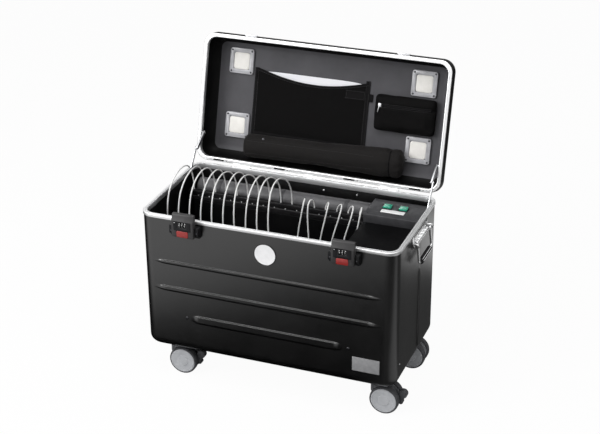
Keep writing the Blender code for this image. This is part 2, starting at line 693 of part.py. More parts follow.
def make_lock(cart, side, name):
    x = side * LOCK_X
    face = -(SHELL_Y + GAP)
    pivot = (FLAP_BACK - FLAP_PIVOT, RIM_Z - FLAP_BOTTOM + FLAP_PIVOT)
    low, high = RIM_Z - LOCK_BASE_BOTTOM, RIM_Z - LOCK_BASE_TOP
    inner = FLAP_HALF + RUNNING_GAP
    front = face - LOCK_BASE_THICK
    ear = face - LOCK_EAR_OUT
    base = [(-LOCK_BASE_HALF, face), (-LOCK_BASE_HALF, ear), (-inner, ear), (-inner, front),
            (inner, front), (inner, ear), (LOCK_BASE_HALF, ear), (LOCK_BASE_HALF, face)]
    base = piece(f"lock_base_{name}", prism(base, "Z", low, high), "black_plastic", cart, (x, 0, 0))
    for i, end in enumerate((-1, 1)):
        near, far = sorted((end * (inner - GAP), end * 2 * LOCK_BASE_HALF))
        trim = block((near, 2 * ear - front, low - GAP), (far, front - GAP, RIM_Z - LOCK_EAR_BOTTOM))
        boolean(base, helper(f"lock_trim_{name}_{i}", trim, cart, (x, 0, 0)), "DIFFERENCE")

    flap_pivot = empty(f"lock_pivot_{name}", cart, (x, *pivot))
    flap = piece(f"lock_flap_{name}", prism(flap_outline(pivot), "X", -FLAP_HALF, FLAP_HALF),
                 "dark_plastic", flap_pivot)

    dial_y = FLAP_FRONT - DIAL_PROUD + DIAL_RADIUS - pivot[0]
    dial_z = RIM_Z - DIAL_BELOW - pivot[1]
    well = DIAL_RADIUS + RUNNING_GAP
    wide = DIAL_PITCH + DIAL_WIDTH / 2 + RUNNING_GAP
    outside = FLAP_FRONT - FLAP_THICK - pivot[0]
    cutter = block((-wide, outside, dial_z - well), (wide, dial_y + well, dial_z + well))
    boolean(flap, helper(f"dial_well_{name}", cutter, flap_pivot), "DIFFERENCE")
    reach = wide + FLAP_ROUND
    pin = skin(turned([(DIAL_PIN_RADIUS, -reach), (DIAL_PIN_RADIUS, reach)], 8, "X"))
    boolean(flap, helper(f"dial_pin_{name}", pin, flap_pivot, (0, dial_y, dial_z)), "UNION")
    for i, place in enumerate((-1, 0, 1)):
        hole = DIAL_PIN_RADIUS + GAP
        half = DIAL_WIDTH / 2
        wheel = [(hole, -half), (DIAL_RADIUS, -half), (DIAL_RADIUS, half), (hole, half)]
        piece(f"dial_{name}_{i + 1}", skin(turned(wheel, DIAL_SIDES, "X"), closed=True), "black_plastic",
              flap_pivot, (place * DIAL_PITCH, dial_y, dial_z))

    button_low = RIM_Z - FLAP_BOTTOM + BUTTON_RECESS - pivot[1]
    button_high = RIM_Z - BUTTON_TOP - pivot[1]
    button_front = FLAP_FRONT - BUTTON_PROUD - pivot[0]
    button_back = button_front + BUTTON_THICK
    cutter = block((-BUTTON_HALF - GAP, outside, button_low - GAP),
                   (BUTTON_HALF + GAP, button_back + BUTTON_TRAVEL + GAP, button_high + GAP))
    boolean(flap, helper(f"button_well_{name}", cutter, flap_pivot), "DIFFERENCE")
    middle = (button_low + button_high) / 2
    half = (button_high - button_low) / 2
    outline = rounded_outline((-BUTTON_HALF, middle - half), (BUTTON_HALF, middle + half), half * 0.4, 3)
    piece(f"lock_button_{name}", prism(outline, "Y", button_front, button_back), "red_plastic", flap_pivot)


def make_handle(cart, side, name):
    wall = side * (SHELL_X + GAP)
    plate_out = wall + side * HANDLE_PLATE
    pivot_x = wall + side * HANDLE_PIVOT_OUT
    pivot_z = RIM_Z - HANDLE_PIVOT_BELOW
    outline = rounded_outline((HANDLE_Y - HANDLE_HALF, RIM_Z - HANDLE_BOTTOM),
                              (HANDLE_Y + HANDLE_HALF, RIM_Z - HANDLE_TOP), HANDLE_ROUND, 3)
    plate = piece(f"handle_plate_{name}", prism(outline, "X", min(wall, plate_out), max(wall, plate_out)),
                  "chrome", cart)
    root = wall + side * HANDLE_PLATE / 2
    ear = [(pivot_x + side * x, pivot_z + z) for x, z in arc((0, 0), HANDLE_EAR_RADIUS, -pi / 2, pi / 2, 6)]
    ear += [(root, ear[-1][1]), (root, ear[0][1])]
    for i, end in enumerate((-1, 1)):
        near, far = sorted((end * HANDLE_HALF, end * (HANDLE_HALF - HANDLE_EAR)))
        lug = prism(ear, "Y", near, far)
        boolean(plate, helper(f"handle_ear_{name}_{i}", lug, cart, (0, HANDLE_Y, 0)), "UNION")
    hole = BAIL_RADIUS + GAP
    bore = skin(turned([(hole, -2 * HANDLE_HALF), (hole, 2 * HANDLE_HALF)], 12))
    boolean(plate, helper(f"handle_bore_{name}", bore, cart, (pivot_x, HANDLE_Y, pivot_z)), "DIFFERENCE")

    bail_pivot = empty(f"handle_pivot_{name}", cart, (pivot_x, HANDLE_Y, pivot_z))
    route = [(HANDLE_HALF, 0.0), (BAIL_HALF + BAIL_RADIUS, 0.0)]
    route += arc((BAIL_HALF + BAIL_RADIUS, -BAIL_RADIUS), BAIL_RADIUS, pi / 2, pi, 3)[1:]
    route += arc((BAIL_HALF - BAIL_BEND, -BAIL_DROP + BAIL_BEND), BAIL_BEND, 0, -pi / 2, 4)
    route = route + [(-y, z) for y, z in reversed(route)]
    lean = Matrix.Rotation(-side * BAIL_LEAN, 4, "Y")
    bail = rod(route, BAIL_RADIUS, 8)
    bmesh.ops.transform(bail, matrix=lean, verts=bail.verts)
    piece(f"handle_bail_{name}", bail, "chrome", bail_pivot)
    grip_hole = BAIL_RADIUS + GAP
    grip = [(grip_hole, -GRIP_HALF), (GRIP_RADIUS, -GRIP_HALF),
            (GRIP_RADIUS, GRIP_HALF), (grip_hole, GRIP_HALF)]
    piece(f"handle_grip_{name}", skin(turned(grip, 12), closed=True), "black_rubber", bail_pivot,
          lean @ Vector((0, 0, -BAIL_DROP)))


def rod(route, radius, sides):
    """A round rod along a route in the plane across X."""
    rings = []
    last = len(route) - 1
    for i, (y, z) in enumerate(route):
        before, after = route[max(i - 1, 0)], route[min(i + 1, last)]
        heading = atan2(after[1] - before[1], after[0] - before[0])
        ring = []
        for k in range(sides):
            a = 2 * pi * (k + 0.5) / sides
            across = radius * sin(a)
            ring.append((radius * cos(a), y - across * sin(heading), z + across * cos(heading)))
        rings.append(ring)
    return skin(rings)


def stay_links():
    """Lengths of the lower and upper links and their directions with the lid open, across X."""
    lower = (HINGE_Y - STAY_BEHIND, RIM_Z - STAY_BELOW_RIM)
    upper = (HINGE_Y - STAY_ON_LID * cos(LID_OPEN) + STAY_LID_DEPTH * sin(LID_OPEN),
             HINGE_Z + STAY_ON_LID * sin(LID_OPEN) + STAY_LID_DEPTH * cos(LID_OPEN))
    span = hypot(upper[0] - lower[0], upper[1] - lower[1])
    lower_link = LOWER_SHARE * (span + STAY_SLACK)
    upper_link = (1 - LOWER_SHARE) * (span + STAY_SLACK)
    rise = atan2(upper[1] - lower[1], upper[0] - lower[0])
    bend = acos((lower_link ** 2 + span ** 2 - upper_link ** 2) / (2 * lower_link * span))
    knuckle = (lower[0] + lower_link * cos(rise + bend), lower[1] + lower_link * sin(rise + bend))
    return lower_link, upper_link, rise + bend, atan2(knuckle[1] - upper[1], knuckle[0] - upper[0])


def make_stay(cart, lid, side, name):
    lower_link, upper_link, lower_angle, upper_angle = stay_links()
    outer = FRAME_INNER_X - GAP
    seam = outer - LOWER_LINK_THICK
    inner = seam - RUNNING_GAP - UPPER_LINK_THICK
    near, far = sorted((side * outer, side * seam))
    bar = prism(capsule(lower_link, LOWER_LINK_HALF), "X", near, far)
    piece(f"stay_lower_{name}", bar, "steel", cart, (0, HINGE_Y - STAY_BEHIND, RIM_Z - STAY_BELOW_RIM),
          lower_angle)
    near, far = sorted((side * inner, side * (inner + UPPER_LINK_THICK)))
    pivot = (0, -STAY_ON_LID, STAY_LID_DEPTH)
    turn = upper_angle + LID_OPEN
    bar = prism(capsule(upper_link, UPPER_LINK_HALF), "X", near, far)
    upper = piece(f"stay_upper_{name}", bar, "steel", lid, pivot, turn)
    near, far = sorted((side * (inner + UPPER_LINK_THICK / 2), side * outer))
    boss = skin(turned([(STAY_BOSS_RADIUS, near), (STAY_BOSS_RADIUS, far)], 10, "X"))
    boolean(upper, helper(f"stay_boss_{name}", boss, lid, pivot, turn), "UNION")


def make_lid(lid):
    middle = -HINGE_Y
    depth = LID_DEPTH - FRAME_TOP - GAP
    top = LID_MOUTH + LID_DEPTH
    rings = []
    for inset, height in tub_rings(depth, LID_EDGE_RADIUS):
        rings.append([(x, y + middle, top - height) for x, y, _ in case_ring(inset, 0.0)])
    piece("lid_shell", skin(rings), "black_plastic", lid)
    profile = frame_profile(GROOVE_WIDTH - 2 * TONGUE_CLEARANCE, TONGUE_HEIGHT)
    rings = [[(x, y + middle, LID_MOUTH - z) for x, y, _ in case_ring(t, 0.0)] for t, z in profile]
    frame = piece("lid_frame", skin(rings, closed=True), "aluminium", lid)
    add_curls(frame, lid, (0, 0, 0), -1, HINGE_WIDTH / 2 + RUNNING_GAP / 2)


def make_cups(lid):
    floor = LID_FLOOR - GAP
    half = CUP_SIZE / 2
    side = INNER_X - CUP_SIDE_MARGIN
    far = HINGE_Y + INNER_Y - CUP_FAR_MARGIN
    for name, x, y in (("near_left", -side, -CUP_NEAR), ("near_right", side, -CUP_NEAR),
                       ("far_left", -side, -far), ("far_right", side, -far)):
        outline = rounded_outline((x - half, y - half), (x + half, y + half), CUP_ROUND, 3)
        cup = piece(f"lid_cup_{name}", prism(outline, "Z", floor - CUP_THICK, floor), "cream_plastic", lid)
        dish = CUP_DISH / 2
        cutter = block((x - dish, y - dish, floor - 2 * CUP_THICK),
                       (x + dish, y + dish, floor - CUP_THICK + CUP_DISH_DEPTH))
        boolean(cup, helper(f"cup_dish_{name}", cutter, lid), "DIFFERENCE")


def make_bags(lid):
    floor = LID_FLOOR - GAP
    pocket = block((POCKET_X - POCKET_WIDTH / 2, -POCKET_FAR, floor - POCKET_THICK),
                   (POCKET_X + POCKET_WIDTH / 2, -POCKET_NEAR, floor))
    piece("document_pocket", pocket, "black_nylon", lid)

    half = POUCH_WIDTH / 2
    rings = []
    ease = POUCH_ROUND * 0.3
    for inset, height in ((0.0, 0.0), (0.0, POUCH_THICK - POUCH_ROUND), (ease, POUCH_THICK - ease),
                          (POUCH_ROUND, POUCH_THICK)):
        outline = rounded_outline((POUCH_X - half + inset, -POUCH_FAR + inset),
                                  (POUCH_X + half - inset, -POUCH_NEAR - inset), POUCH_ROUND, 3)
        rings.append([(x, y, floor - height) for x, y in outline])
    piece("zip_pouch", skin(rings), "black_nylon", lid)

    rings = []
    reach = ROLL_LENGTH / 2
    for x, share in ((-reach, 0.82), (-reach + ROLL_END, 1.0), (reach - 3 * ROLL_END, 1.0), (reach, 0.62)):
        ring = []
        for i in range(ROLL_SIDES):
            a = 2 * pi * (i + 0.5) / ROLL_SIDES
            ring.append((x, -ROLL_S + share * ROLL_HALF_WIDTH * cos(a),
                         floor - ROLL_HALF_THICK + share * ROLL_HALF_THICK * sin(a)))
        rings.append(ring)
    piece("rolled_bag", skin(rings), "black_nylon", lid)


def make_keepers(lid):
    face = -(HINGE_Y + CASE_DEPTH / 2 + GAP)
    low = LID_MOUTH + KEEPER_LOW
    for name, x in (("left", -LOCK_X), ("right", LOCK_X)):
        outline = [(face, low), (face, low + KEEPER_HEIGHT), (face - KEEPER_OUT, low + KEEPER_HEIGHT * 0.6),
                   (face - KEEPER_OUT, low)]
        piece(f"lock_keeper_{name}", prism(outline, "X", x - KEEPER_HALF, x + KEEPER_HALF), "steel", lid)


def hood_web():
    """Side view of a castor hood between its wheels, measured from the axle."""
    neck_top = NECK_TOP - AXLE_Z
    right = NECK_HALF - CASTOR_TRAIL
    left = -NECK_HALF - CASTOR_TRAIL
    drop = radians(-55)
    shoulder = acos(right / HOOD_RADIUS)
    back = radians(200)
    under = radians(285)
    return (arc((0, 0), HOOD_CUTBACK, drop, HOOD_START, 6) + arc((0, 0), HOOD_RADIUS, HOOD_START, shoulder, 4)
            + [(right, neck_top), (left, neck_top), (left, HOOD_CUTBACK / 2)]
            + arc((0, 0), HOOD_CUTBACK, back, under, 4))


def make_hood_mesh():
    """The hood's web, fender and swivel head joined, with the axle's hole."""
    web = piece("castor_hood", prism(hood_web(), "Y", -HOOD_HALF, HOOD_HALF), "hood_plastic", None,
                (CASTOR_TRAIL, 0, AXLE_Z))
    start, end = HOOD_START, FENDER_END
    band = arc((0, 0), HOOD_RADIUS, start, end, 10) + arc((0, 0), HOOD_RADIUS - FENDER_THICK, end, start, 10)
    axle = (CASTOR_TRAIL, 0, AXLE_Z)
    fender = helper("hood_fender", prism(band, "Y", -FENDER_HALF, FENDER_HALF), None, axle)
    boolean(web, fender, "UNION")
    head_low = NECK_TOP - FENDER_THICK
    head_high = CASTOR_HEIGHT - GAP
    head = skin(turned([(SWIVEL_RADIUS, head_low), (SWIVEL_RADIUS, head_high)], 16, "Z"))
    head = helper("hood_head", head, None)
    boolean(web, head, "UNION")
    hole = AXLE_RADIUS + GAP
    bore = helper("hood_bore", skin(turned([(hole, -FENDER_HALF), (hole, FENDER_HALF)], 12)), None, axle)
    boolean(web, bore, "DIFFERENCE")
    graph = bpy.context.evaluated_depsgraph_get()
    mesh = bpy.data.meshes.new_from_object(web.evaluated_get(graph))
    for obj in (web, fender, head, bore):
        bpy.data.objects.remove(obj)
    return mesh


def wheel_profile():
    tread = WHEEL_RADIUS - WHEEL_BEVEL
    half = [(tread, -WHEEL_OUTER), (WHEEL_RADIUS, -WHEEL_OUTER + WHEEL_BEVEL), (WHEEL_RADIUS, -WHEEL_INNER),
            (AXLE_RADIUS, -WHEEL_INNER)]
    return half + [(r, -y) for r, y in reversed(half)]


def pedal_outline():
    """Side view of a brake pedal, measured from its pivot: an upper and a lower lobe on a hub."""
    upper = (PEDAL_UPPER[0] - PEDAL_PIVOT[0], PEDAL_UPPER[1] - PEDAL_PIVOT[1])
    lower = (PEDAL_LOWER[0] - PEDAL_PIVOT[0], PEDAL_LOWER[1] - PEDAL_PIVOT[1])
    return (arc(upper, PEDAL_UPPER_RADIUS, radians(150), radians(-60), 9)
            + arc(lower, PEDAL_LOWER_RADIUS, radians(60), radians(-150), 7)
            + arc((0, 0), PEDAL_HUB_RADIUS, radians(-150), radians(-210), 3))


def make_castors(cart):
    hood_mesh = make_hood_mesh()
    far_x = SHELL_X - CASTOR_SIDE_MARGIN
    front_y = CASTOR_FRONT_MARGIN - SHELL_Y
    rear_y = SHELL_Y - CASTOR_REAR_MARGIN
    for name, x, y, braked in (("front_left", -far_x, front_y, True), ("front_right", far_x, front_y, True),
                               ("rear_left", -far_x, rear_y, False), ("rear_right", far_x, rear_y, False)):
        swivel = empty(f"castor_swivel_{name}", cart, (x, y, 0))
        link(f"castor_hood_{name}", hood_mesh.copy(), swivel, (CASTOR_TRAIL, 0, AXLE_Z), 0.0)
        wheels = skin(turned(wheel_profile(), WHEEL_SIDES))
        piece(f"castor_wheels_{name}", wheels, "grey_plastic", swivel, (CASTOR_TRAIL, 0, AXLE_Z))
        if braked:
            pedal = prism(pedal_outline(), "Y", -PEDAL_HALF, PEDAL_HALF)
            piece(f"brake_pedal_{name}", pedal, "hood_plastic", swivel,
                  (CASTOR_TRAIL + PEDAL_PIVOT[0], 0, AXLE_Z + PEDAL_PIVOT[1]))


def main():
    for obj in list(bpy.data.objects):
        bpy.data.objects.remove(obj)
    cart = empty("cart", None, (0, (front_reach() - rear_reach()) / 2, 0))
    lid = empty("lid_hinge", cart, (0, HINGE_Y, HINGE_Z), -LID_OPEN)
    make_tub(cart)
    make_rack(cart)
    make_charger(cart)
    make_leads(cart)
    make_bay(cart)
    make_inlet(cart)
    make_front_plates(cart)
    make_lid(lid)
    make_cups(lid)
    make_bags(lid)
    make_keepers(lid)
    for side, name in ((-1, "left"), (1, "right")):
        make_lock(cart, side, name)
        make_handle(cart, side, name)
        make_stay(cart, lid, side, name)
    make_castors(cart)


main()
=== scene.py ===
import json
import bmesh
import bpy
from math import atan2, cos, hypot, pi, radians, sin, tan
from mathutils import Matrix, Vector, noise

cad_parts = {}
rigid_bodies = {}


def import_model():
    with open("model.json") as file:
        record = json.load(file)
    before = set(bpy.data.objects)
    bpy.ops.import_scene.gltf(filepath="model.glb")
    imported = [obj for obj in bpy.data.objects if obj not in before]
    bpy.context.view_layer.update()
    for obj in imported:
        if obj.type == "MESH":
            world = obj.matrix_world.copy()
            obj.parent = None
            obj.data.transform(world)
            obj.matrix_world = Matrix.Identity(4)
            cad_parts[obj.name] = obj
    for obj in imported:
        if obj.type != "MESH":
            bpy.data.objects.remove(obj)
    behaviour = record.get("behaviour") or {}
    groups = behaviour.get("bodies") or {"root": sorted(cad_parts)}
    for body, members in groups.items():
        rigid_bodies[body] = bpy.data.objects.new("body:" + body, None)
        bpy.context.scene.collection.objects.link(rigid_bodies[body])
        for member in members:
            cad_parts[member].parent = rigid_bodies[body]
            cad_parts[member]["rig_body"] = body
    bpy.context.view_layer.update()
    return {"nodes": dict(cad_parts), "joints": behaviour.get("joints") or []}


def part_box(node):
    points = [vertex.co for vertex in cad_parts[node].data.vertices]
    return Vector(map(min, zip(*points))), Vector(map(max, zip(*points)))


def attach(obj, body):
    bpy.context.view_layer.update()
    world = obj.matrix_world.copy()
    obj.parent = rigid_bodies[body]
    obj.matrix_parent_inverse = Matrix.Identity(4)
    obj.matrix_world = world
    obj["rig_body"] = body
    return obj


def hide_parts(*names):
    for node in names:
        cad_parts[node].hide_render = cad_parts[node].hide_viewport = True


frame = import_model()

# Places that every section uses, read from the frame
joints = {joint["name"]: joint for joint in frame["joints"]}
hinge = Vector(joints["lid_hinge"]["pos_m"])
lidOpen = radians(joints["lid_hinge"]["range_deg"][1])
lidPlace = Matrix.Translation(hinge) @ Matrix.Rotation(-lidOpen, 4, "X")  # closed lid to open lid
lidInverse = lidPlace.inverted()
shellLow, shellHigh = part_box("body_shell")
rackLow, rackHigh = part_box("slot_rack")
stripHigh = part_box("charging_leads")[1]
panelLow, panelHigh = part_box("control_panel")
lidGap = 0.0004
rim = hinge.z - lidGap / 2
case = {
    "halfX": shellHigh.x,
    "halfY": (shellHigh.y - shellLow.y) / 2,
    "middle": (shellHigh.y + shellLow.y) / 2,
    "base": shellLow.z,
    "top": shellHigh.z,
    "wall": 0.004,
    "corner": 0.030,
    "cornerEase": 0.6,
    "cornerSteps": 14,
}
lid = {"mouth": lidGap / 2, "depth": 0.070, "top": 0.0033, "edge": 0.036, "edgeSteps": 14,
       "mouthEase": 0.0006, "floor": 0.0662, "lift": 0.0003}


# Node trees

class Wire:
    # One output socket; sums and products of wires add Math nodes
    def __init__(self, graph, socket):
        self.graph = graph
        self.socket = socket

    def output(self, name):
        return Wire(self.graph, self.socket.node.outputs[name])

    def maths(self, operation, first, second):
        return self.graph.node("ShaderNodeMath", {"operation": operation}, {0: first, 1: second})

    def __add__(self, other):
        return self.maths("ADD", self, other)

    def __radd__(self, other):
        return self.maths("ADD", other, self)

    def __sub__(self, other):
        return self.maths("SUBTRACT", self, other)

    def __rsub__(self, other):
        return self.maths("SUBTRACT", other, self)

    def __mul__(self, other):
        return self.maths("MULTIPLY", self, other)

    def __rmul__(self, other):
        return self.maths("MULTIPLY", other, self)


class Graph:
    def __init__(self, tree):
        self.tree = tree

    def node(self, kind, settings=None, sockets=None, out=0):
        made = self.tree.nodes.new(kind)
        for key, value in (settings or {}).items():
            setattr(made, key, value)
        for key, value in (sockets or {}).items():
            self.plug(value, made.inputs[key])
        return Wire(self, made.outputs[out]) if made.outputs else made

    def plug(self, value, socket):
        for one in (value if isinstance(value, list) else [value]):
            if isinstance(one, Wire):
                self.tree.links.new(one.socket, socket)
            elif socket.type == "RGBA":
                socket.default_value = (*one[:3], 1.0)
            else:
                socket.default_value = one

    def objectPlace(self, **mapping):
        place = self.node("ShaderNodeTexCoord", out="Object")
        return self.node("ShaderNodeMapping", None, {"Vector": place, **mapping}) if mapping else place

    def grain(self, place, scale, detail=2.0, roughness=0.5):
        return self.node("ShaderNodeTexNoise", None, {
            "Vector": place, "Scale": scale, "Detail": detail, "Roughness": roughness})

    def mix(self, factor, first, second):
        return self.node("ShaderNodeMix", {"data_type": "RGBA"}, {0: factor, 6: first, 7: second}, out=2)

    def larger(self, first, second):
        return self.node("ShaderNodeMath", {"operation": "MAXIMUM"}, {0: first, 1: second})

    def ramp(self, value, low, high):
        return self.node("ShaderNodeMapRange", {"clamp": True}, {0: value, 1: low, 2: high})

    def bump(self, height, depth, strength=1.0):
        return self.node("ShaderNodeBump", None, {"Height": height, "Distance": depth, "Strength": strength})


def newFinish(name, constants):
    material = bpy.data.materials.new(name)
    material.use_nodes = True
    graph = Graph(material.node_tree)
    shader = material.node_tree.nodes["Principled BSDF"]
    for key, value in constants.items():
        graph.plug(value, shader.inputs[key])

    def fill(**links):
        for key, value in links.items():
            graph.plug(value, shader.inputs[{"colour": "Base Color"}.get(key, key.capitalize())])
        return material

    return graph, fill


# Finishes

# Dark tone, light tone, range of roughness, patches and grains in a metre, grain depth, shine, coat
plasticLooks = {
    "shellBlack": ((.0020, .0020, .0022), (.0040, .0039, .0040), (.26, .34), 14, 1500, .00003, 0.95, 0.0),
    "lidBlack": ((.0026, .0026, .0028), (.0048, .0047, .0048), (.42, .54), 14, 1500, .00006, 0.08, 0.0),
    "linerBlack": ((.0024, .0024, .0027), (.0048, .0048, .0051), (.42, .55), 20, 1100, .00008, 0.05, 0.0),
    "lidGrey": ((.060, .059, .065), (.086, .085, .092), (.48, .60), 10, 1300, .00006, 0.22, 0.0),
    "panelGrey": ((.036, .036, .039), (.056, .056, .060), (.40, .52), 30, 1400, .00009, 0.25, 0.0),
    "ductGrey": ((.074, .073, .077), (.106, .105, .110), (.34, .46), 18, 1500, .00005, 0.35, 0.0),
    "lockGrey": ((.030, .029, .030), (.044, .043, .044), (.36, .48), 60, 2200, .00006, 0.30, 0.0),
    "lockBlack": ((.006, .006, .007), (.011, .011, .012), (.42, .52), 60, 2000, .00006, 0.18, 0.0),
    "glossBlack": ((.004, .004, .005), (.007, .007, .008), (.08, .16), 80, 900, .00001, 0.5, 0.4),
    "digitWhite": ((.84, .84, .83), (.92, .92, .91), (.42, .52), 300, 3000, .00001, 0.5, 0.0),
    "buttonRed": ((.21, .009, .008), (.31, .016, .013), (.28, .40), 90, 2400, .00005, 0.5, 0.15),
    "rockerGreen": ((.010, .26, .155), (.020, .40, .255), (.14, .24), 120, 1600, .00002, 0.5, 0.2),
    "badgeSilver": ((.78, .78, .79), (.86, .86, .87), (.30, .42), 90, 2600, .00003, 0.5, 0.1),
    "labelSilver": ((.225, .225, .232), (.285, .285, .292), (.30, .42), 90, 2600, .00003, 0.5, 0.1),
    "cupGrey": ((.33, .33, .35), (.46, .46, .48), (.24, .36), 40, 900, .00003, 0.5, 0.2),
    "cupCream": ((.80, .78, .74), (.88, .86, .82), (.50, .62), 60, 1800, .00008, 0.5, 0.0),
    "wheelGrey": ((.40, .41, .43), (.49, .50, .52), (.42, .54), 45, 1900, .00006, 0.5, 0.0),
    "treadGrey": ((.050, .051, .056), (.080, .081, .088), (.55, .70), 80, 1200, .00014, 0.30, 0.0),
    "hoodGrey": ((.105, .107, .115), (.155, .157, .166), (.38, .50), 50, 2000, .00007, 0.30, 0.0),
    "pedalGrey": ((.048, .049, .054), (.074, .075, .081), (.38, .50), 50, 2000, .00007, 0.30, 0.0),
    "gripRubber": ((.008, .008, .009), (.016, .016, .017), (.62, .76), 90, 1600, .00018, 0.25, 0.0),
    "leadWhite": ((.82, .82, .82), (.90, .90, .89), (.34, .46), 70, 2600, .00003, 0.5, 0.1),
    "stripBlack": ((.008, .008, .009), (.018, .017, .018), (.30, .44), 50, 1700, .00005, 0.25, 0.0),
    "labelWhite": ((.84, .84, .84), (.91, .91, .91), (.46, .58), 80, 2600, .00002, 0.5, 0.0),
    "liningWhite": ((.86, .86, .90), (.93, .93, .96), (.60, .74), 18, 2400, .00005, 0.5, 0.0),
    # Painted shade: the black of the rim slots' openings
    "paintedSlotShade": ((.003, .003, .003), (.006, .006, .006), (.60, .80), 200, 2500, .00002, 0.05, 0.0),
}


def mouldedPlastic(name):
    # Two close tones in soft patches, a fine moulded grain and faint rubbed spots
    dark, light, (low, high), mottle, grain, depth, shine, coat = plasticLooks[name]
    graph, fill = newFinish(name, {"Coat Weight": coat, "Coat Roughness": 0.12, "Specular IOR Level": shine})
    place = graph.objectPlace()
    patches = graph.grain(place, mottle, 4.0, 0.6)
    grainHeight = graph.grain(place, grain, 2.0)
    rubbed = graph.ramp(graph.grain(place, mottle * 9, 3.0), 0.58, 0.72)
    return fill(colour=graph.mix(graph.ramp(patches, 0.3, 0.7), dark, light),
                roughness=low + (high - low) * patches + 0.05 * rubbed,
                normal=graph.bump(grainHeight, depth))


# Dark tone, light tone, range of roughness, and brush marks in a metre along each axis
metalLooks = {
    "rimAluminium": ((.80, .805, .81), (.90, .902, .905), (.40, .52), (3, 900, 1)),
    "hingeAluminium": ((.83, .835, .84), (.92, .922, .925), (.40, .50), (60, 60, 900)),
    "staySteel": ((.46, .465, .48), (.66, .665, .68), (.24, .40), (300, 90, 90)),
    "handleChrome": ((.84, .845, .85), (.94, .942, .945), (.10, .22), (160, 40, 160)),
    "screwSteel": ((.52, .525, .535), (.72, .725, .735), (.22, .36), (700, 700, 700)),
    "darkSteel": ((.045, .045, .05), (.09, .09, .095), (.30, .44), (500, 500, 500)),
    "tipGold": ((.62, .60, .55), (.78, .76, .70), (.20, .30), (600, 600, 600)),
}


def drawnMetal(name, withUv=False):
    # Bare metal with die lines or brush marks, and smudges that dull it in places
    dark, light, (low, high), marks = metalLooks[name]
    graph, fill = newFinish(name, {"Metallic": 1.0})
    place = graph.node("ShaderNodeTexCoord", out="UV" if withUv else "Object")
    lines = graph.grain(graph.node("ShaderNodeMapping", None, {"Vector": place, "Scale": marks}), 1.0, 3.0)
    smudge = graph.grain(graph.objectPlace(), 24, 4.0, 0.65)
    return fill(colour=graph.mix(0.6 * lines + 0.4 * smudge, dark, light),
                roughness=low + (high - low) * (0.5 * lines + 0.5 * smudge),
                normal=graph.bump(lines, 0.00004, 0.6))


# Dark tone, light tone, pitch of the threads, sheen, shine
nylonLooks = {
    "bagNylon": ((.0017, .0016, .0017), (.0040, .0037, .0038), .0009, .006, .08),
    "rollNylon": ((.0042, .0037, .0036), (.0120, .0106, .0103), .0008, .06, .16),
    "tapeNylon": ((.0036, .0034, .0037), (.0100, .0095, .0100), .0014, .03, .08),
}


def wovenNylon(name):
    # Plain weave: two crossed thread waves, with slight slubs; turned into the plane of the open lid
    dark, light, pitch, sheen, shine = nylonLooks[name]
    graph, fill = newFinish(name, {"Sheen Weight": sheen, "Sheen Roughness": 0.4,
                                   "Specular IOR Level": shine})
    place = graph.objectPlace(Rotation=(lidOpen - pi / 2, 0, 0))
    wave = {"wave_type": "BANDS", "wave_profile": "SIN"}
    scale = 1 / pitch / 20 * 2 * pi
    thread = {"Vector": place, "Scale": scale, "Distortion": 0.6, "Detail": 1.0}
    warp = graph.node("ShaderNodeTexWave", {**wave, "bands_direction": "X"}, thread)
    weft = graph.node("ShaderNodeTexWave", {**wave, "bands_direction": "Z"}, thread)
    weave = warp * weft + 0.35 * (warp + weft)
    worn = graph.grain(graph.objectPlace(), 22, 4.0, 0.6)
    shade = 0.55 * weave + 0.45 * graph.ramp(worn, 0.35, 0.7)
    return fill(colour=graph.mix(shade, dark, light),
                roughness=0.62 + 0.22 * worn,
                normal=graph.bump(weave, pitch * 0.35, 0.5))


finish = {name: mouldedPlastic(name) for name in plasticLooks}
finish.update({name: drawnMetal(name, name == "rimAluminium") for name in metalLooks})
finish.update({name: wovenNylon(name) for name in nylonLooks})
print("finishes:", len(finish))


# Mesh helpers

def blendBetween(a, b, t):
    return a + (b - a) * t


def shares(count):
    return [i / count for i in range(count + 1)]


def smoothStep(t):
    t = max(0.0, min(1.0, t))
    return t * t * (3 - 2 * t)


def arcPoints(centre, radius, start, end, steps):
    angles = [blendBetween(start, end, t) for t in shares(steps)]
    return [(centre[0] + radius * cos(a), centre[1] + radius * sin(a)) for a in angles]


def roundedBox(halfU, halfV, radius, steps=5, centre=(0.0, 0.0)):
    points = []
    for i, (su, sv) in enumerate(((1, 1), (-1, 1), (-1, -1), (1, -1))):
        corner = (centre[0] + su * (halfU - radius), centre[1] + sv * (halfV - radius))
        points += arcPoints(corner, radius, pi / 2 * i, pi / 2 * (i + 1), steps)
    return points


def boxRings(half, radius, centre, levels, steps=6):
    # Rounded boxes one above another; each level is how far its box has grown, and its height
    rings = []
    for grow, z in levels:
        outline = roundedBox(half[0] + grow, half[1] + grow, radius + grow, steps, centre)
        rings.append([(x, y, z) for x, y in outline])
    return rings


def filleted(points, radius, steps=3):
    # A closed outline with each corner drawn round, never past the middle of its sides
    rounded = []
    for i, point in enumerate(points):
        here = Vector(point)
        back = Vector(points[i - 1]) - here
        on = Vector(points[(i + 1) % len(points)]) - here
        reach = min(radius / max(tan(back.angle(on) / 2), 1e-6), 0.48 * back.length, 0.48 * on.length)
        first = here + back.normalized() * reach
        last = here + on.normalized() * reach
        for k in range(steps + 1):
            t = k / steps
            rounded.append(tuple((1 - t) ** 2 * first + 2 * t * (1 - t) * here + t * t * last))
    return rounded


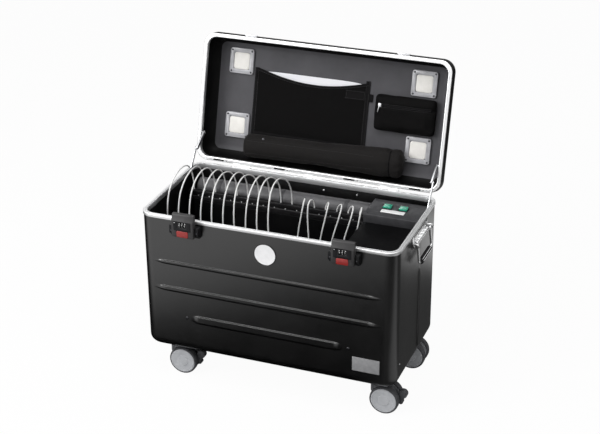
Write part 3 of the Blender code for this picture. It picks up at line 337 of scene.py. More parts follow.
def ringSkin(rings, closed=False, capped=True, withUv=False):
    bm = bmesh.new()
    loops = [[bm.verts.new(p) for p in ring] for ring in rings]
    uv = bm.loops.layers.uv.new("UVMap") if withUv else None
    count = len(loops[0])
    around = [0.0]
    for i in range(count):
        around.append(around[-1] + (Vector(rings[0][(i + 1) % count]) - Vector(rings[0][i])).length)
    across = 0.0
    spans = list(zip(loops, loops[1:])) + ([(loops[-1], loops[0])] if closed else [])
    for a, b in spans:
        step = (b[0].co - a[0].co).length
        for i in range(count):
            j = (i + 1) % count
            face = bm.faces.new((a[i], a[j], b[j], b[i]))
            if uv:
                marks = ((i, 0.0), (i + 1, 0.0), (i + 1, step), (i, step))
                for loop, (k, more) in zip(face.loops, marks):
                    loop[uv].uv = (around[k], across + more)
        across += step
    if capped and not closed:
        bm.faces.new(loops[0])
        bm.faces.new(loops[-1])
    bmesh.ops.recalc_face_normals(bm, faces=bm.faces)
    return bm


def drawnOut(outline, axis, low, high, ease=0.0):
    # An outline drawn out along an axis, with the edges of both ends eased
    order = {"X": lambda u, v, w: (w, u, v), "Y": lambda u, v, w: (u, w, v),
             "Z": lambda u, v, w: (u, v, w)}[axis]
    bm = ringSkin([[order(u, v, w) for u, v in outline] for w in (low, high)])
    if ease:
        ends = [f for f in bm.faces if len(f.verts) == len(outline) and len(outline) > 4]
        if not ends:
            ends = sorted(bm.faces, key=lambda f: abs(f.calc_center_median()["XYZ".index(axis)] - low))
            ends = [ends[0], ends[-1]]
        edges = {e for f in ends for e in f.edges}
        bmesh.ops.bevel(bm, geom=list(edges), offset=ease, segments=2, profile=0.5, affect="EDGES")
    return bm


def turned(profile, sides, axis="Y", closed=False, withUv=False):
    rings = []
    for radius, along in profile:
        ring = []
        for i in range(sides):
            a = 2 * pi * i / sides
            u, v = radius * cos(a), radius * sin(a)
            ring.append({"X": (along, u, v), "Y": (u, along, v), "Z": (u, v, along)}[axis])
        rings.append(ring)
    return ringSkin(rings, closed=closed, withUv=withUv)


def sweptTube(points, radius, sides=16, capped=True):
    # A round bar along a route; radius may be one number or one for each point
    route = [Vector(p) for p in points]
    radii = radius if isinstance(radius, (list, tuple)) else [radius] * len(route)
    side = None
    rings = []
    for i, (here, r) in enumerate(zip(route, radii)):
        ahead = (route[min(i + 1, len(route) - 1)] - route[max(i - 1, 0)]).normalized()
        if side is None:
            side = ahead.orthogonal()
        side = (side - ahead * side.dot(ahead)).normalized()
        other = ahead.cross(side)
        turns = [2 * pi * k / sides for k in range(sides)]
        rings.append([here + r * (side * cos(a) + other * sin(a)) for a in turns])
    return ringSkin(rings, capped=capped)


def sweptStrip(points, normal, width, thick):
    # A flat tape along a route; the normal points off its face
    route = [Vector(p) for p in points]
    section = roundedBox(width / 2, thick / 2, thick * 0.45, 3)
    up = Vector(normal).normalized()
    rings = []
    for i, here in enumerate(route):
        ahead = (route[min(i + 1, len(route) - 1)] - route[max(i - 1, 0)]).normalized()
        across = ahead.cross(up).normalized()
        rings.append([here + across * u + up * v for u, v in section])
    return ringSkin(rings)


def joined(parts):
    whole = bmesh.new()
    for part in parts:
        mesh = bpy.data.meshes.new("part")
        part.to_mesh(mesh)
        part.free()
        whole.from_mesh(mesh)
        bpy.data.meshes.remove(mesh)
    return whole


def moved(bm, place):
    bmesh.ops.transform(bm, matrix=place, verts=bm.verts)
    return bm


def shown(name, data, body, nodes=()):
    obj = bpy.data.objects.new(name, data)
    bpy.context.scene.collection.objects.link(obj)
    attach(obj, body)
    if nodes:
        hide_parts(*nodes)
    return obj


def meshOf(bm, name, material, sharp=38):
    mesh = bpy.data.meshes.new(name)
    bm.to_mesh(mesh)
    bm.free()
    mesh.materials.append(material)
    mesh.shade_smooth()
    mesh.set_sharp_from_angle(angle=radians(sharp))
    return mesh


def addPiece(name, bm, material, body, nodes=(), place=None, sharp=38):
    if place is not None:
        moved(bm, place)
    return shown(name, meshOf(bm, name, finish[material], sharp), body, nodes)


def softened(node, name, width, material, segments=2, sharp=50):
    # A copy of a node with its hard edges eased
    bm = bmesh.new()
    bm.from_mesh(frame["nodes"][node].data)
    bmesh.ops.remove_doubles(bm, verts=bm.verts, dist=2e-6)
    bmesh.ops.dissolve_limit(bm, angle_limit=radians(1), verts=bm.verts, edges=bm.edges)
    edges = [e for e in bm.edges if e.is_manifold and e.calc_face_angle() > radians(28)]
    bmesh.ops.bevel(bm, geom=edges, offset=width, segments=segments, profile=0.5, affect="EDGES",
                    clamp_overlap=True)
    body = frame["nodes"][node]["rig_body"]
    return addPiece(name, bm, material, body, [node], sharp=sharp)


def nodeFinish(node, material):
    mesh = frame["nodes"][node].data
    mesh.materials.clear()
    mesh.materials.append(finish[material])


# Geometry Nodes: fasteners on points, and small shapes along a line

def newTree(name, inputs):
    tree = bpy.data.node_groups.new(name, "GeometryNodeTree")
    tree.interface.new_socket("Geometry", in_out="INPUT", socket_type="NodeSocketGeometry")
    for label, kind in inputs:
        tree.interface.new_socket(label, in_out="INPUT", socket_type="NodeSocket" + kind)
    tree.interface.new_socket("Geometry", in_out="OUTPUT", socket_type="NodeSocketGeometry")
    graph = Graph(tree)
    return graph, graph.node("NodeGroupInput")


def endTree(graph, source, geometry):
    solid = graph.node("GeometryNodeRealizeInstances", None, {"Geometry": geometry})
    coated = graph.node("GeometryNodeSetMaterial", None,
                        {"Geometry": solid, "Material": source.output("Material")})
    graph.node("NodeGroupOutput", None, {"Geometry": coated})
    return graph.tree


def fastenerTree(name, crossed):
    # Domed heads, with or without a cross cut, standing on points and facing along the points' own directions
    graph, source = newTree(name, [("Radius", "Float"), ("Rise", "Float"), ("Cut", "Float"),
                                   ("Material", "Material")])
    radius, rise, cut = (source.output(n) for n in ("Radius", "Rise", "Cut"))
    ball = graph.node("GeometryNodeMeshUVSphere", None, {"Segments": 20, "Rings": 10, "Radius": radius})
    squashed = graph.node("ShaderNodeCombineXYZ", None, {0: 1.0, 1: 1.0, 2: graph.node(
        "ShaderNodeMath", {"operation": "DIVIDE"}, {0: rise, 1: radius})})
    head = graph.node("GeometryNodeTransform", None, {"Geometry": ball, "Scale": squashed})
    if crossed:
        long, short = radius * 1.15, radius * 0.28
        bars = []
        for size in ((long, short), (short, long)):
            box = graph.node("ShaderNodeCombineXYZ", None, {0: size[0], 1: size[1], 2: cut * 2})
            bar = graph.node("GeometryNodeMeshCube", None, {"Size": box})
            lift = graph.node("ShaderNodeCombineXYZ", None, {2: rise})
            bars.append(graph.node("GeometryNodeTransform", None, {"Geometry": bar, "Translation": lift}))
        cross = graph.node("GeometryNodeMeshBoolean", {"operation": "UNION"}, {"Mesh": bars})
        head = graph.node("GeometryNodeMeshBoolean", {"operation": "DIFFERENCE"}, {0: head, "Mesh 2": cross})
    facing = graph.node("GeometryNodeInputNamedAttribute", {"data_type": "FLOAT_VECTOR"}, {"Name": "facing"})
    turn = graph.node("FunctionNodeAlignRotationToVector", {"axis": "Z"}, {"Vector": facing})
    placed = graph.node("GeometryNodeInstanceOnPoints", None, {
        "Points": source, "Instance": head, "Rotation": turn})
    smooth = graph.node("GeometryNodeSetShadeSmooth", None, {"Geometry": placed, "Shade Smooth": not crossed})
    return endTree(graph, source, smooth)


def beadTree():
    # Small rounded lengths at a steady pitch along a line: stitches and zip teeth
    graph, source = newTree("beads", [("Pitch", "Float"), ("Length", "Float"), ("Thick", "Float"),
                                      ("Wide", "Float"), ("Material", "Material")])
    points = graph.node("GeometryNodeCurveToPoints", {"mode": "LENGTH"},
                        {"Curve": source, "Length": source.output("Pitch")})
    ball = graph.node("GeometryNodeMeshIcoSphere", None, {"Radius": 0.5, "Subdivisions": 2})
    size = graph.node("ShaderNodeCombineXYZ", None, {
        0: source.output("Wide"), 1: source.output("Thick"), 2: source.output("Length")})
    stitch = graph.node("GeometryNodeTransform", None, {"Geometry": ball, "Scale": size})
    row = graph.node("GeometryNodeInstanceOnPoints", None, {
        "Points": points, "Instance": stitch, "Rotation": points.output("Rotation")})
    smooth = graph.node("GeometryNodeSetShadeSmooth", None, {"Geometry": row})
    return endTree(graph, source, smooth)


trees = {"screws": fastenerTree("screws", True), "rivets": fastenerTree("rivets", False), "beads": beadTree()}


def grown(name, data, treeName, values, body):
    # Runs a tree on points or lines and keeps its result as a plain mesh
    tree = trees[treeName]
    seed = bpy.data.objects.new(name + "Seed", data)
    bpy.context.scene.collection.objects.link(seed)
    modifier = seed.modifiers.new("grow", "NODES")
    modifier.node_group = tree
    for item in tree.interface.items_tree:
        if item.in_out == "INPUT" and item.name in values:
            modifier[item.identifier] = values[item.name]
    graph = bpy.context.evaluated_depsgraph_get()
    mesh = bpy.data.meshes.new_from_object(seed.evaluated_get(graph))
    seed.modifiers.remove(modifier)
    bpy.data.objects.remove(seed)
    mesh.name = name
    return shown(name, mesh, body, ())


def pointsData(places):
    # Points, each with the way that its fastener faces
    mesh = bpy.data.meshes.new("places")
    mesh.from_pydata([p for p, _ in places], [], [])
    facing = mesh.attributes.new("facing", "FLOAT_VECTOR", "POINT")
    for item, (_, way) in zip(facing.data, places):
        item.vector = way
    return mesh


def linesData(lines):
    curve = bpy.data.curves.new("lines", "CURVE")
    curve.dimensions = "3D"
    for line in lines:
        spline = curve.splines.new("POLY")
        spline.points.add(len(line) - 1)
        for knot, place in zip(spline.points, line):
            knot.co = (*place, 1.0)
    return curve


# Tree, radius, rise and finish of each set of screw and rivet heads
heads = {
    "stripScrews": ("screws", .0017, .0009, "screwSteel"),
    "panelScrews": ("screws", .0026, .0012, "darkSteel"),
    "inletScrews": ("screws", .0024, .0011, "darkSteel"),
    "rearWallScrews": ("screws", .0026, .0013, "screwSteel"),
    "ribBolts": ("screws", .0042, .0016, "darkSteel"),
    "endRivets": ("rivets", .0022, .0011, "screwSteel"),
    "lockScrews": ("screws", .0026, .0012, "darkSteel"),
    "lockPin": ("rivets", .0013, .0007, "screwSteel"),
    "handleRivets": ("rivets", .0032, .0016, "screwSteel"),
    "stayRivet": ("rivets", .0028, .0014, "screwSteel"),
    "cupScrews": ("screws", .0026, .0011, "darkSteel"),
    "rollSnaps": ("rivets", .0042, .0016, "darkSteel"),
}


def fasteners(name, places, body):
    kind, radius, rise, material = heads[name.split("_")[0]]
    values = {"Radius": radius, "Rise": rise, "Cut": rise * 0.45, "Material": finish[material]}
    return grown(name, pointsData(places), kind, values, body)


def stitches(name, lines, material, sewing):
    return grown(name, linesData(lines), "beads", {**sewing, "Material": finish[material]}, "lid")


def onLid(x, along, depth):
    return lidPlace @ Vector((x, -along, depth))


lidIn = (lidPlace.to_3x3() @ Vector((0, 0, -1))).normalized()  # out of the open lid, towards a viewer
lidUp = (lidPlace.to_3x3() @ Vector((0, -1, 0))).normalized()


# Camera

viewer = {"place": (1.19856, -3.09201, 2.0119), "yaw": 21.15, "pitch": 25.96, "roll": -0.45,
          "focalPixels": 1473.0, "imageWidth": 600, "sensor": 36.0}


def makeCamera():
    yaw, pitch, roll = (radians(viewer[k]) for k in ("yaw", "pitch", "roll"))
    back = Vector((sin(yaw) * cos(pitch), -cos(yaw) * cos(pitch), sin(pitch)))
    level = Vector((cos(yaw), sin(yaw), 0.0))
    upright = back.cross(level)
    right = cos(roll) * level + sin(roll) * upright
    up = -sin(roll) * level + cos(roll) * upright
    data = bpy.data.cameras.new("camera")
    data.sensor_width = viewer["sensor"]
    data.lens = viewer["focalPixels"] / viewer["imageWidth"] * viewer["sensor"]
    camera = bpy.data.objects.new("camera", data)
    turn = Matrix((right, up, back)).transposed().to_4x4()
    camera.matrix_world = Matrix.Translation(viewer["place"]) @ turn
    bpy.context.scene.collection.objects.link(camera)
    bpy.context.scene.camera = camera


makeCamera()


# Charging leads: each point is a share of the lead's lean and rise, how far behind the strip's middle,
# and how far above the rim

leads = {
    "count": 16, "divider": 0.0025, "diameter": 0.0036, "spacing": 0.0045, "stripHalf": 0.008,
    "stripTop": -0.046, "plugLength": 0.020, "plugSwell": 2.3, "plugClear": 0.0005, "arches": 10,
    "boot": ((0.0, .00195, .00195, 2.0), (.0004, .0023, .0023, 2.0)),
    "bootRings": 3, "ringFrom": .0012, "ringPitch": .0016, "ringFlare": .0003,
    "plugBody": ((.0062, .0032, .0025, 2.6), (.0070, .0040, .0028, 3.4), (.0125, .0040, .0028, 3.6),
                 (.0144, .0038, .0026, 3.4), (.0148, .0034, .0022, 3.2)),
    "tip": {"halfU": 0.0030, "halfV": 0.0011, "round": 0.0009, "from": 0.0140, "to": 0.0198, "ease": 0.0002},
    "archRoute": (
        (0.000, 0.000, -0.046), (0.000, 0.000, -0.032), (0.000, -0.007, 0.000), (0.300, -0.027, 0.030),
        (0.800, -0.057, 0.047), (1.000, -0.089, 0.050), (0.800, -0.122, 0.039), (0.400, -0.146, 0.014),
        (0.150, -0.157, -0.020), (0.000, -0.159, -0.057), (0.000, -0.159, -0.092), (0.000, -0.158, -0.136)),
    "archLean": (0.004, 0.006, 0.002, 0.004, -0.004, 0.000, -0.008, 0.002, -0.006, -0.008),
    "archRise": (-0.004, 0.000, -0.001, 0.000, -0.003, 0.002, -0.002, 0.003, 0.001, 0.004),
    "loopRoute": (
        (0.00, 0.000, -0.046), (0.00, 0.000, -0.040), (0.35, -0.003, -0.026), (0.80, -0.014, -0.018),
        (1.00, -0.027, -0.021), (0.95, -0.035, -0.034), (0.70, -0.039, -0.057), (0.35, -0.041, -0.084),
        (0.05, -0.043, -0.110), (0.00, -0.044, -0.136)),
    "loopLean": (0.012, -0.005, 0.016, 0.021, 0.021, 0.012),
}
strip = {
    "below": 0.0250, "end": 0.0028, "groove": 0.0016, "lip": 0.0045, "round": 0.0005, "ease": 0.0006,
    "frontGroove": (.0080, .0092, .0135, .0147), "screwIn": .0005, "screwDown": .0115,
    "collar": ((.0019, -.0016), (.0036, -.0016), (.0036, .0002), (.0032, .0010), (.0024, .0016),
               (.0019, .0016)),
}
slotPitch = (rackHigh.x - rackLow.x - leads["divider"]) / leads["count"]
firstSlot = rackLow.x + leads["divider"] / 2 + slotPitch / 2
stripMiddle = stripHigh.y - leads["stripHalf"]


def leadRoute(index):
    x = firstSlot + index * slotPitch
    arch = index < leads["arches"]
    lean = leads["archLean"][index] if arch else leads["loopLean"][index - leads["arches"]]
    rise = leads["archRise"][index] if arch else 0.0
    route = [Vector((x + share * lean, stripMiddle + behind, rim + above + share * rise))
             for share, behind, above in leads["archRoute" if arch else "loopRoute"]]
    swell = leads["plugSwell"] * leads["diameter"] / 2
    route[-1].x = x - (slotPitch / 2 - leads["divider"] / 2 - swell - leads["plugClear"])
    return route


def smoothRoute(route, spacing):
    route = [2 * route[0] - route[1]] + route + [2 * route[-1] - route[-2]]
    samples = []
    for a, b, c, d in zip(route, route[1:], route[2:], route[3:]):
        steps = max(1, round((c - b).length / spacing))
        for i in range(steps):
            t = i / steps
            samples.append(0.5 * (2 * b + (c - a) * t + (2 * a - 5 * b + 4 * c - d) * t ** 2
                                  + (3 * b - a - 3 * c + d) * t ** 3))
    return samples + [route[-2]]


def plugShape():
    # Boot with grip rings, then the moulded body, from the cord's end at 0 along +Z
    sections = list(leads["boot"])
    for i in range(leads["bootRings"]):
        low, flare = leads["ringFrom"] + i * leads["ringPitch"], i * leads["ringFlare"]
        sections += [(low, .0024 + flare, .0023, 2.2), (low + .0005, .0020 + flare, .0020, 2.2)]
    return loftedRound(sections + list(leads["plugBody"]), 20)


def loftedRound(sections, sides):
    # Sections of height, half width, half depth and how square they are
    rings = []
    for z, halfU, halfV, power in sections:
        ring = []
        for k in range(sides):
            a = 2 * pi * k / sides
            c, s = cos(a), sin(a)
            reach = (abs(c) ** power + abs(s) ** power) ** (-1 / power)
            ring.append((halfU * reach * c, halfV * reach * s, z))
        rings.append(ring)
    return ringSkin(rings)


def makeLeads():
    tip = leads["tip"]
    tipOutline = roundedBox(tip["halfU"], tip["halfV"], tip["round"], 4)
    tips = []
    for index in range(leads["count"]):
        points = smoothRoute(leadRoute(index), leads["spacing"])
        end = points[-1]
        ahead = (end - points[-2]).normalized()
        neck = end - ahead * leads["plugLength"]
        points = [p for p in points if (p - end).length > leads["plugLength"] * 1.2] + [neck]
        curve = linesData([points])
        curve.bevel_depth = leads["diameter"] / 2
        curve.bevel_resolution = 4
        curve.use_fill_caps = True
        curve.materials.append(finish["leadWhite"])
        name = f"lead_{index + 1:02d}"
        cord = shown(name, curve, "body", ["charging_leads"])
        place = Matrix.Translation(neck) @ ahead.to_track_quat("Z", "Y").to_matrix().to_4x4()
        plug = addPiece(f"leadPlug_{index + 1:02d}", plugShape(), "leadWhite", "body", ["charging_leads"],
                        place, 30)
        tips.append(moved(drawnOut(tipOutline, "Z", tip["from"], tip["to"], tip["ease"]), place))
        length = sum((b - a).length for a, b in zip(points, points[1:]))
        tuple(points[0])
    addPiece("leadTips", joined(tips), "tipGold", "body", ["charging_leads"])


def makeStrip():
    low, top, back = panelLow.z - strip["below"], rim + leads["stripTop"], stripHigh.y
    front = back - 2 * leads["stripHalf"]
    lip, groove = strip["lip"], strip["groove"]
    outline = [(front, low), (back, low), (back, top), (back - lip, top), (back - lip, top - groove),
               (front + lip, top - groove), (front + lip, top), (front, top)]
    sunk = (0.0, groove, groove, 0.0)
    outline += [(front + inward, top - down) for inward, down in zip(sunk, strip["frontGroove"])]
    left, right = rackLow.x + leads["divider"] / 2 + strip["end"], rackHigh.x - strip["end"]
    bar = drawnOut(filleted(outline, strip["round"], 2), "X", left, right, strip["ease"])
    addPiece("chargingStrip", bar, "stripBlack", "body", ["charging_leads"])
    collars = []
    for index in range(leads["count"]):
        centre = (firstSlot + index * slotPitch, stripMiddle, top)
        collars.append(moved(turned(strip["collar"], 24, "Z", closed=True), Matrix.Translation(centre)))
    addPiece("leadCollars", joined(collars), "panelGrey", "body", ["charging_leads"])
    ports = [((firstSlot + (i + .5) * slotPitch, front + strip["screwIn"], top - strip["screwDown"]),
              (0, -1, 0)) for i in range(leads["count"] - 1)]
    fasteners("stripScrews", ports, "body")


makeLeads()
makeStrip()
print("leads: 16 cords with plugs, strip and collars")


# Tub with its pressed ribs

tub = {
    "edgeRadius": 0.026, "edgeSteps": 10, "wideColumns": 150, "innerSteps": 6,
    "plainColumns": (-.09, -.05, -.01, .05, .09), "plainRows": (.13, .21, .28, .32, .35), "rowMargin": .002,
    "ribs": (
        {"from": -.297, "to": .291, "at": .2465, "half": .0062, "upper": .30, "lower": .95, "proud": .0034,
         "taper": .034},
        {"from": -.300, "to": .292, "at": .1735, "half": .0078, "upper": .26, "lower": .80, "proud": .0038,
         "taper": .034},
        {"from": -.203, "to": .198, "backTo": .148, "at": .0975, "half": .0118, "upper": .18, "lower": .60,
         "proud": .0040, "taper": .022}),
    "sideBead": {"from": .012, "to": .254, "at": .020, "half": .0050, "upper": .90, "lower": .90,
                 "proud": .0030, "taper": .020},
}


def ribLift(rib, along, across):
    ends = smoothStep(min(along - rib["from"], rib["to"] - along) / rib["taper"])
    u = (across - rib["at"]) / (rib["half"] * (0.35 + 0.65 * ends))
    crown = smoothStep((1 - abs(u)) / rib["upper" if u > 0 else "lower"])
    return rib["proud"] * crown * ends


def caseOutline(inset, columns):
    # One turn round the case from its right rear corner, with the way that each point faces
    halfX, halfY = case["halfX"] - inset, case["halfY"] - inset
    radius = case["corner"] - case["cornerEase"] * inset
    signs = ((1, 1), (-1, 1), (-1, -1), (1, -1))
    corners = []
    for i, (sx, sy) in enumerate(signs):
        centre = (sx * (halfX - radius), sy * (halfY - radius))
        arc = arcPoints(centre, radius, pi / 2 * i, pi / 2 * (i + 1), case["cornerSteps"])
        corners.append([(x, y, ((x - centre[0]) / radius, (y - centre[1]) / radius)) for x, y in arc])
    points = []
    for i, corner in enumerate(corners):
        points += corner
        start, end = corner[-1], corners[(i + 1) % 4][0]
        for t in columns[i]:
            points.append((blendBetween(start[0], end[0], t), blendBetween(start[1], end[1], t), start[2]))
    return points


def wallColumns():
    bead = tub["sideBead"]
    straight = case["halfY"] - case["corner"]
    marks = {round(bead["at"] + bead["half"] * u / 4, 6) for u in range(-5, 6)} | set(tub["plainColumns"])
    rightward = [(y + straight) / (2 * straight) for y in sorted(marks)]
    wide = [(i + 1) / (tub["wideColumns"] + 1) for i in range(tub["wideColumns"])]
    return [wide, [1 - t for t in reversed(rightward)], wide, rightward]


def wallRows():
    rows = set()
    for rib in tub["ribs"]:
        rows |= {round(rib["at"] + rib["half"] * (1 - rib["upper"] * u / 6), 6) for u in range(-1, 8)}
        rows |= {round(rib["at"] - rib["half"] * (1 - rib["lower"] * u / 8), 6) for u in range(-1, 10)}
    bead = tub["sideBead"]
    rows |= {round(bead["from"] + bead["taper"] * u / 4, 6) for u in range(5)}
    rows |= {round(bead["to"] - bead["taper"] * u / 4, 6) for u in range(5)}
    rows |= set(tub["plainRows"])
    low, high = tub["edgeRadius"] + tub["rowMargin"], case["top"] - case["base"] - tub["rowMargin"]
    return [z for z in sorted(rows) if low < z < high]


def quarterRound(radius, steps):
    turns = [pi / 2 * t for t in shares(steps)]
    return [(radius * (1 - sin(a)), radius * (1 - cos(a))) for a in turns]


def makeTub():
    columns = wallColumns()
    wall, top = case["wall"], case["top"] - case["base"]
    # On the back the low rib stops short of the inlet
    backRibs = [dict(rib, to=rib.get("backTo", rib["to"])) for rib in tub["ribs"]]

    def lift(x, y, z, facing):
        if abs(facing[1]) > 0.999:
            return max(ribLift(rib, x, z) for rib in (tub["ribs"] if facing[1] < 0 else backRibs))
        if abs(facing[0]) > 0.999:
            return ribLift(tub["sideBead"], z, y)
        return 0.0

    def ring(inset, z, raised=False):
        points = []
        for x, y, facing in caseOutline(inset, columns):
            out = lift(x, y, z, facing) if raised else 0.0
            points.append((x + facing[0] * out, y + facing[1] * out + case["middle"], case["base"] + z))
        return points

    rings = [ring(inset, z) for inset, z in quarterRound(tub["edgeRadius"], tub["edgeSteps"])]
    rings += [ring(0.0, z, True) for z in wallRows()] + [ring(0.0, top), ring(wall, top)]
    inner = [(wall + inset, wall + z)
             for inset, z in quarterRound(tub["edgeRadius"] - wall, tub["innerSteps"])]
    rings += [ring(inset, z) for inset, z in reversed(inner)]
    addPiece("tubShell", ringSkin(rings), "shellBlack", "body", ["body_shell"], sharp=50)


makeTub()


# Rim frames, hinge leaves and pin

rimFrame = {"lip": .0015, "width": .009, "outside": .0085, "inside": .013, "top": .003, "chamfer": .0011,
            "gap": .0003, "grooveInset": .0038, "grooveWidth": .0026, "grooveDepth": .002,
            "tongueWidth": .0014, "tongueRise": .0012, "round": .0005}
leaf = {"places": (-.2, 0.0, .2), "width": .024, "offset": .01225, "pin": .0022, "thick": .0016,
        "height": .008, "out": .0047, "curl": radians(290), "steps": 22, "gap": .0003, "ease": .00025}
hingePin = {"radius": .0021, "tip": .0012, "ease": .0006}
belt = {"low": .0012, "proud": .00025, "ease": .0003, "swell": .0034, "swellAt": .024, "roll": .0006,
        "rollLength": .0040, "high": .036, "root": .0004, "rootTop": .0340, "rootFoot": .0095, "lap": .0002,
        "lapTop": .0090}


def frameProfile(ridgeWidth, ridgeHeight):
    f = rimFrame
    inner = f["width"] - f["lip"]
    near = f["grooveInset"] + (f["grooveWidth"] - ridgeWidth) / 2
    far = near + ridgeWidth
    points = [(-f["lip"], -f["outside"]), (-f["lip"], -f["chamfer"]), (-f["lip"] + f["chamfer"], 0.0),
              (near, 0.0), (near, ridgeHeight), (far, ridgeHeight), (far, 0.0), (inner, 0.0),
              (inner, -f["inside"]), (case["wall"] + f["gap"], -f["inside"]),
              (case["wall"] + f["gap"], -f["top"]), (-f["gap"], -f["top"]), (-f["gap"], -f["outside"])]
    return filleted(points, f["round"], 2)


def frameRings(profile, place):
    few = [[.25, .5, .75]] * 4
    return [[place @ Vector((x, y, z)) for x, y, _ in caseOutline(inset, few)] for inset, z in profile]


def leafOutline(up):
    inner = leaf["pin"] + leaf["gap"]
    outer = inner + leaf["thick"]
    start, end = pi, pi - leaf["curl"]
    root = -leaf["out"] - leaf["gap"]
    points = [(root, 0.0), (root, -leaf["height"]), (-inner, -leaf["height"])]
    points += arcPoints((0, 0), inner, start, end, leaf["steps"])
    points += arcPoints((0, 0), outer, end, start, leaf["steps"])
    return [(y, z * up) for y, z in points]


def hingeLeaves(up, place):
    parts = []
    for x in leaf["places"]:
        middle = x + up * leaf["offset"]
        parts.append(drawnOut(leafOutline(up), "X", middle - leaf["width"] / 2, middle + leaf["width"] / 2,
                              leaf["ease"]))
    return moved(joined(parts), place)


def makeFrames():
    tubPlace = Matrix.Translation((0, case["middle"], rim))
    rings = frameRings(frameProfile(rimFrame["grooveWidth"], -rimFrame["grooveDepth"]), tubPlace)
    addPiece("tubFrame", ringSkin(rings, closed=True, withUv=True), "rimAluminium", "body", ["body_frame"])
    flip = Matrix.Translation((0, -hinge.y + case["middle"], lid["mouth"])) @ Matrix.Scale(-1, 4, (0, 0, 1))
    rings = frameRings(frameProfile(rimFrame["tongueWidth"], rimFrame["tongueRise"]), lidPlace @ flip)
    addPiece("lidFrame", ringSkin(rings, closed=True, withUv=True), "rimAluminium", "lid", ["lid_frame"])
    bright = "hingeAluminium"
    addPiece("hingeLeavesTub", hingeLeaves(1, Matrix.Translation(hinge)), bright, "body", ["body_frame"])
    addPiece("hingeLeavesLid", hingeLeaves(-1, lidPlace), bright, "lid", ["lid_frame"])
    low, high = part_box("hinge_pin")
    radius, tip, ease = (hingePin[k] for k in ("radius", "tip", "ease"))
    profile = [(tip, low.x), (radius, low.x + ease), (radius, high.x - ease), (tip, high.x)]
    pin = moved(turned(profile, 20, "X"), Matrix.Translation((0, hinge.y, hinge.z)))
    addPiece("hingePin", pin, bright, "body", ["hinge_pin"])


def makeLidBelt():
    # The lid's moulded wall laps the outer side of its frame and swells a little behind it
    flip = Matrix.Translation((0, -hinge.y + case["middle"], lid["mouth"]))
    face = rimFrame["lip"]
    profile = [(-face + belt["lap"], belt["low"]), (-face - belt["proud"], belt["low"] + belt["ease"]),
               (-belt["swell"], belt["swellAt"]),
               (-belt["swell"] + belt["roll"], belt["swellAt"] + belt["rollLength"]),
               (0.0, belt["high"]), (belt["root"], belt["rootTop"]), (belt["root"], belt["rootFoot"]),
               (-face + belt["lap"], belt["lapTop"])]
    rings = frameRings(profile, lidPlace @ flip)
    addPiece("lidBelt", ringSkin(rings, closed=True), "lidBlack", "lid", (), sharp=50)


makeFrames()
makeLidBelt()

rimSlots = {"places": (-.266, -.096, .093, .266), "along": .0084, "length": .030, "width": .0040,
            "dot": .0220, "dotRadius": .0011, "dotShift": .0004, "proud": .00012, "sunk": .0004}


def makeRimSlots():
    # Painted shade: flat black insets stand for the dark openings and rivet dots along the lid frame, beside
    # the hinge; the frame is not cut
    parts = []
    for x in rimSlots["places"]:
        outline = roundedBox(rimSlots["length"] / 2, rimSlots["width"] / 2, rimSlots["width"] * .45, 5,
                             (x, -rimSlots["along"]))
        dot = roundedBox(rimSlots["dotRadius"], rimSlots["dotRadius"], rimSlots["dotRadius"] * .98, 6,
                         (x + rimSlots["dot"], -rimSlots["along"] + rimSlots["dotShift"]))
        for shape in (outline, dot):
            parts.append(drawnOut(shape, "Z", lid["mouth"] - rimSlots["proud"],
                                  lid["mouth"] + rimSlots["sunk"]))
    addPiece("lidFrameSlots", joined(parts), "paintedSlotShade", "lid", (), lidPlace)


makeRimSlots()


# Lid shell and the grey panel laid in it

liner = {"rise": radians(26), "steps": 6, "face": .00025, "back": .00005}


def makeLidShell():
    few = [[.2, .4, .6, .8]] * 4
    top = lid["mouth"] + lid["depth"]
    shift = case["middle"] - hinge.y
    deep = lid["depth"] - lid["top"]

    def ring(inset, height):
        return [(x, y + shift, top - height) for x, y, _ in caseOutline(inset, few)]

    wall, ease, steps = case["wall"], lid["mouthEase"], lid["edgeSteps"]
    outside = quarterRound(lid["edge"], steps) + [(0.0, deep - ease), (ease, deep)]
    inside = [(wall + inset, wall + z) for inset, z in quarterRound(lid["edge"] - wall, steps)]
    outer = ringSkin([ring(*step) for step in outside + [(wall, deep)] + inside[::-1]])
    addPiece("lidShell", outer, "lidBlack", "lid", ["lid_shell"], lidPlace, 50)
    turns = [liner["rise"] * t for t in shares(liner["steps"])]
    bend = lid["edge"] - wall

    def linerRing(a, off):
        return ring(lid["edge"] - (bend - off) * sin(a), lid["edge"] - (bend - off) * cos(a))

    panel = [linerRing(a, liner["face"]) for a in turns]
    panel += [linerRing(a, liner["back"]) for a in reversed(turns)]
    addPiece("lidLiner", ringSkin(panel), "lidGrey", "lid", ["lid_shell"], lidPlace, 50)


makeLidShell()
print("shells and frames")


# Fittings whose solid only needs its edges eased

eased = (
    ("slot_rack", "slotRack", .0006, "linerBlack", "black_plastic"),
    ("bay_cover", "bayCover", .0006, "linerBlack", "black_plastic"),
    ("control_panel", "controlPanel", .0012, "panelGrey", "black_plastic"),
    ("charger_housing", "chargerHousing", .0015, "linerBlack", "black_plastic"),
    ("power_inlet", "powerInlet", .0008, "lockBlack", "black_plastic"),
    ("label_plate", "labelPlate", .00035, "labelSilver", "aluminium"),
)
sided = (
    ("lock_base_", "lockBase_", .0010, "lockBlack", "black_plastic"),
    ("lock_flap_", "lockFlap_", .0010, "lockGrey", "dark_plastic"),
    ("lock_button_", "lockButton_", .0011, "buttonRed", "button_red"),
    ("lock_keeper_", "lockKeeper_", .0006, "staySteel", "steel"),
    ("rocker_", "rockerCap_", .0009, "rockerGreen", "rocker_green"),
    ("stay_lower_", "stayLower_", .0005, "staySteel", "steel"),
    ("stay_upper_", "stayUpper_", .0006, "staySteel", "steel"),
    ("handle_plate_", "handlePlate_", .0006, "handleChrome", "chrome"),
)
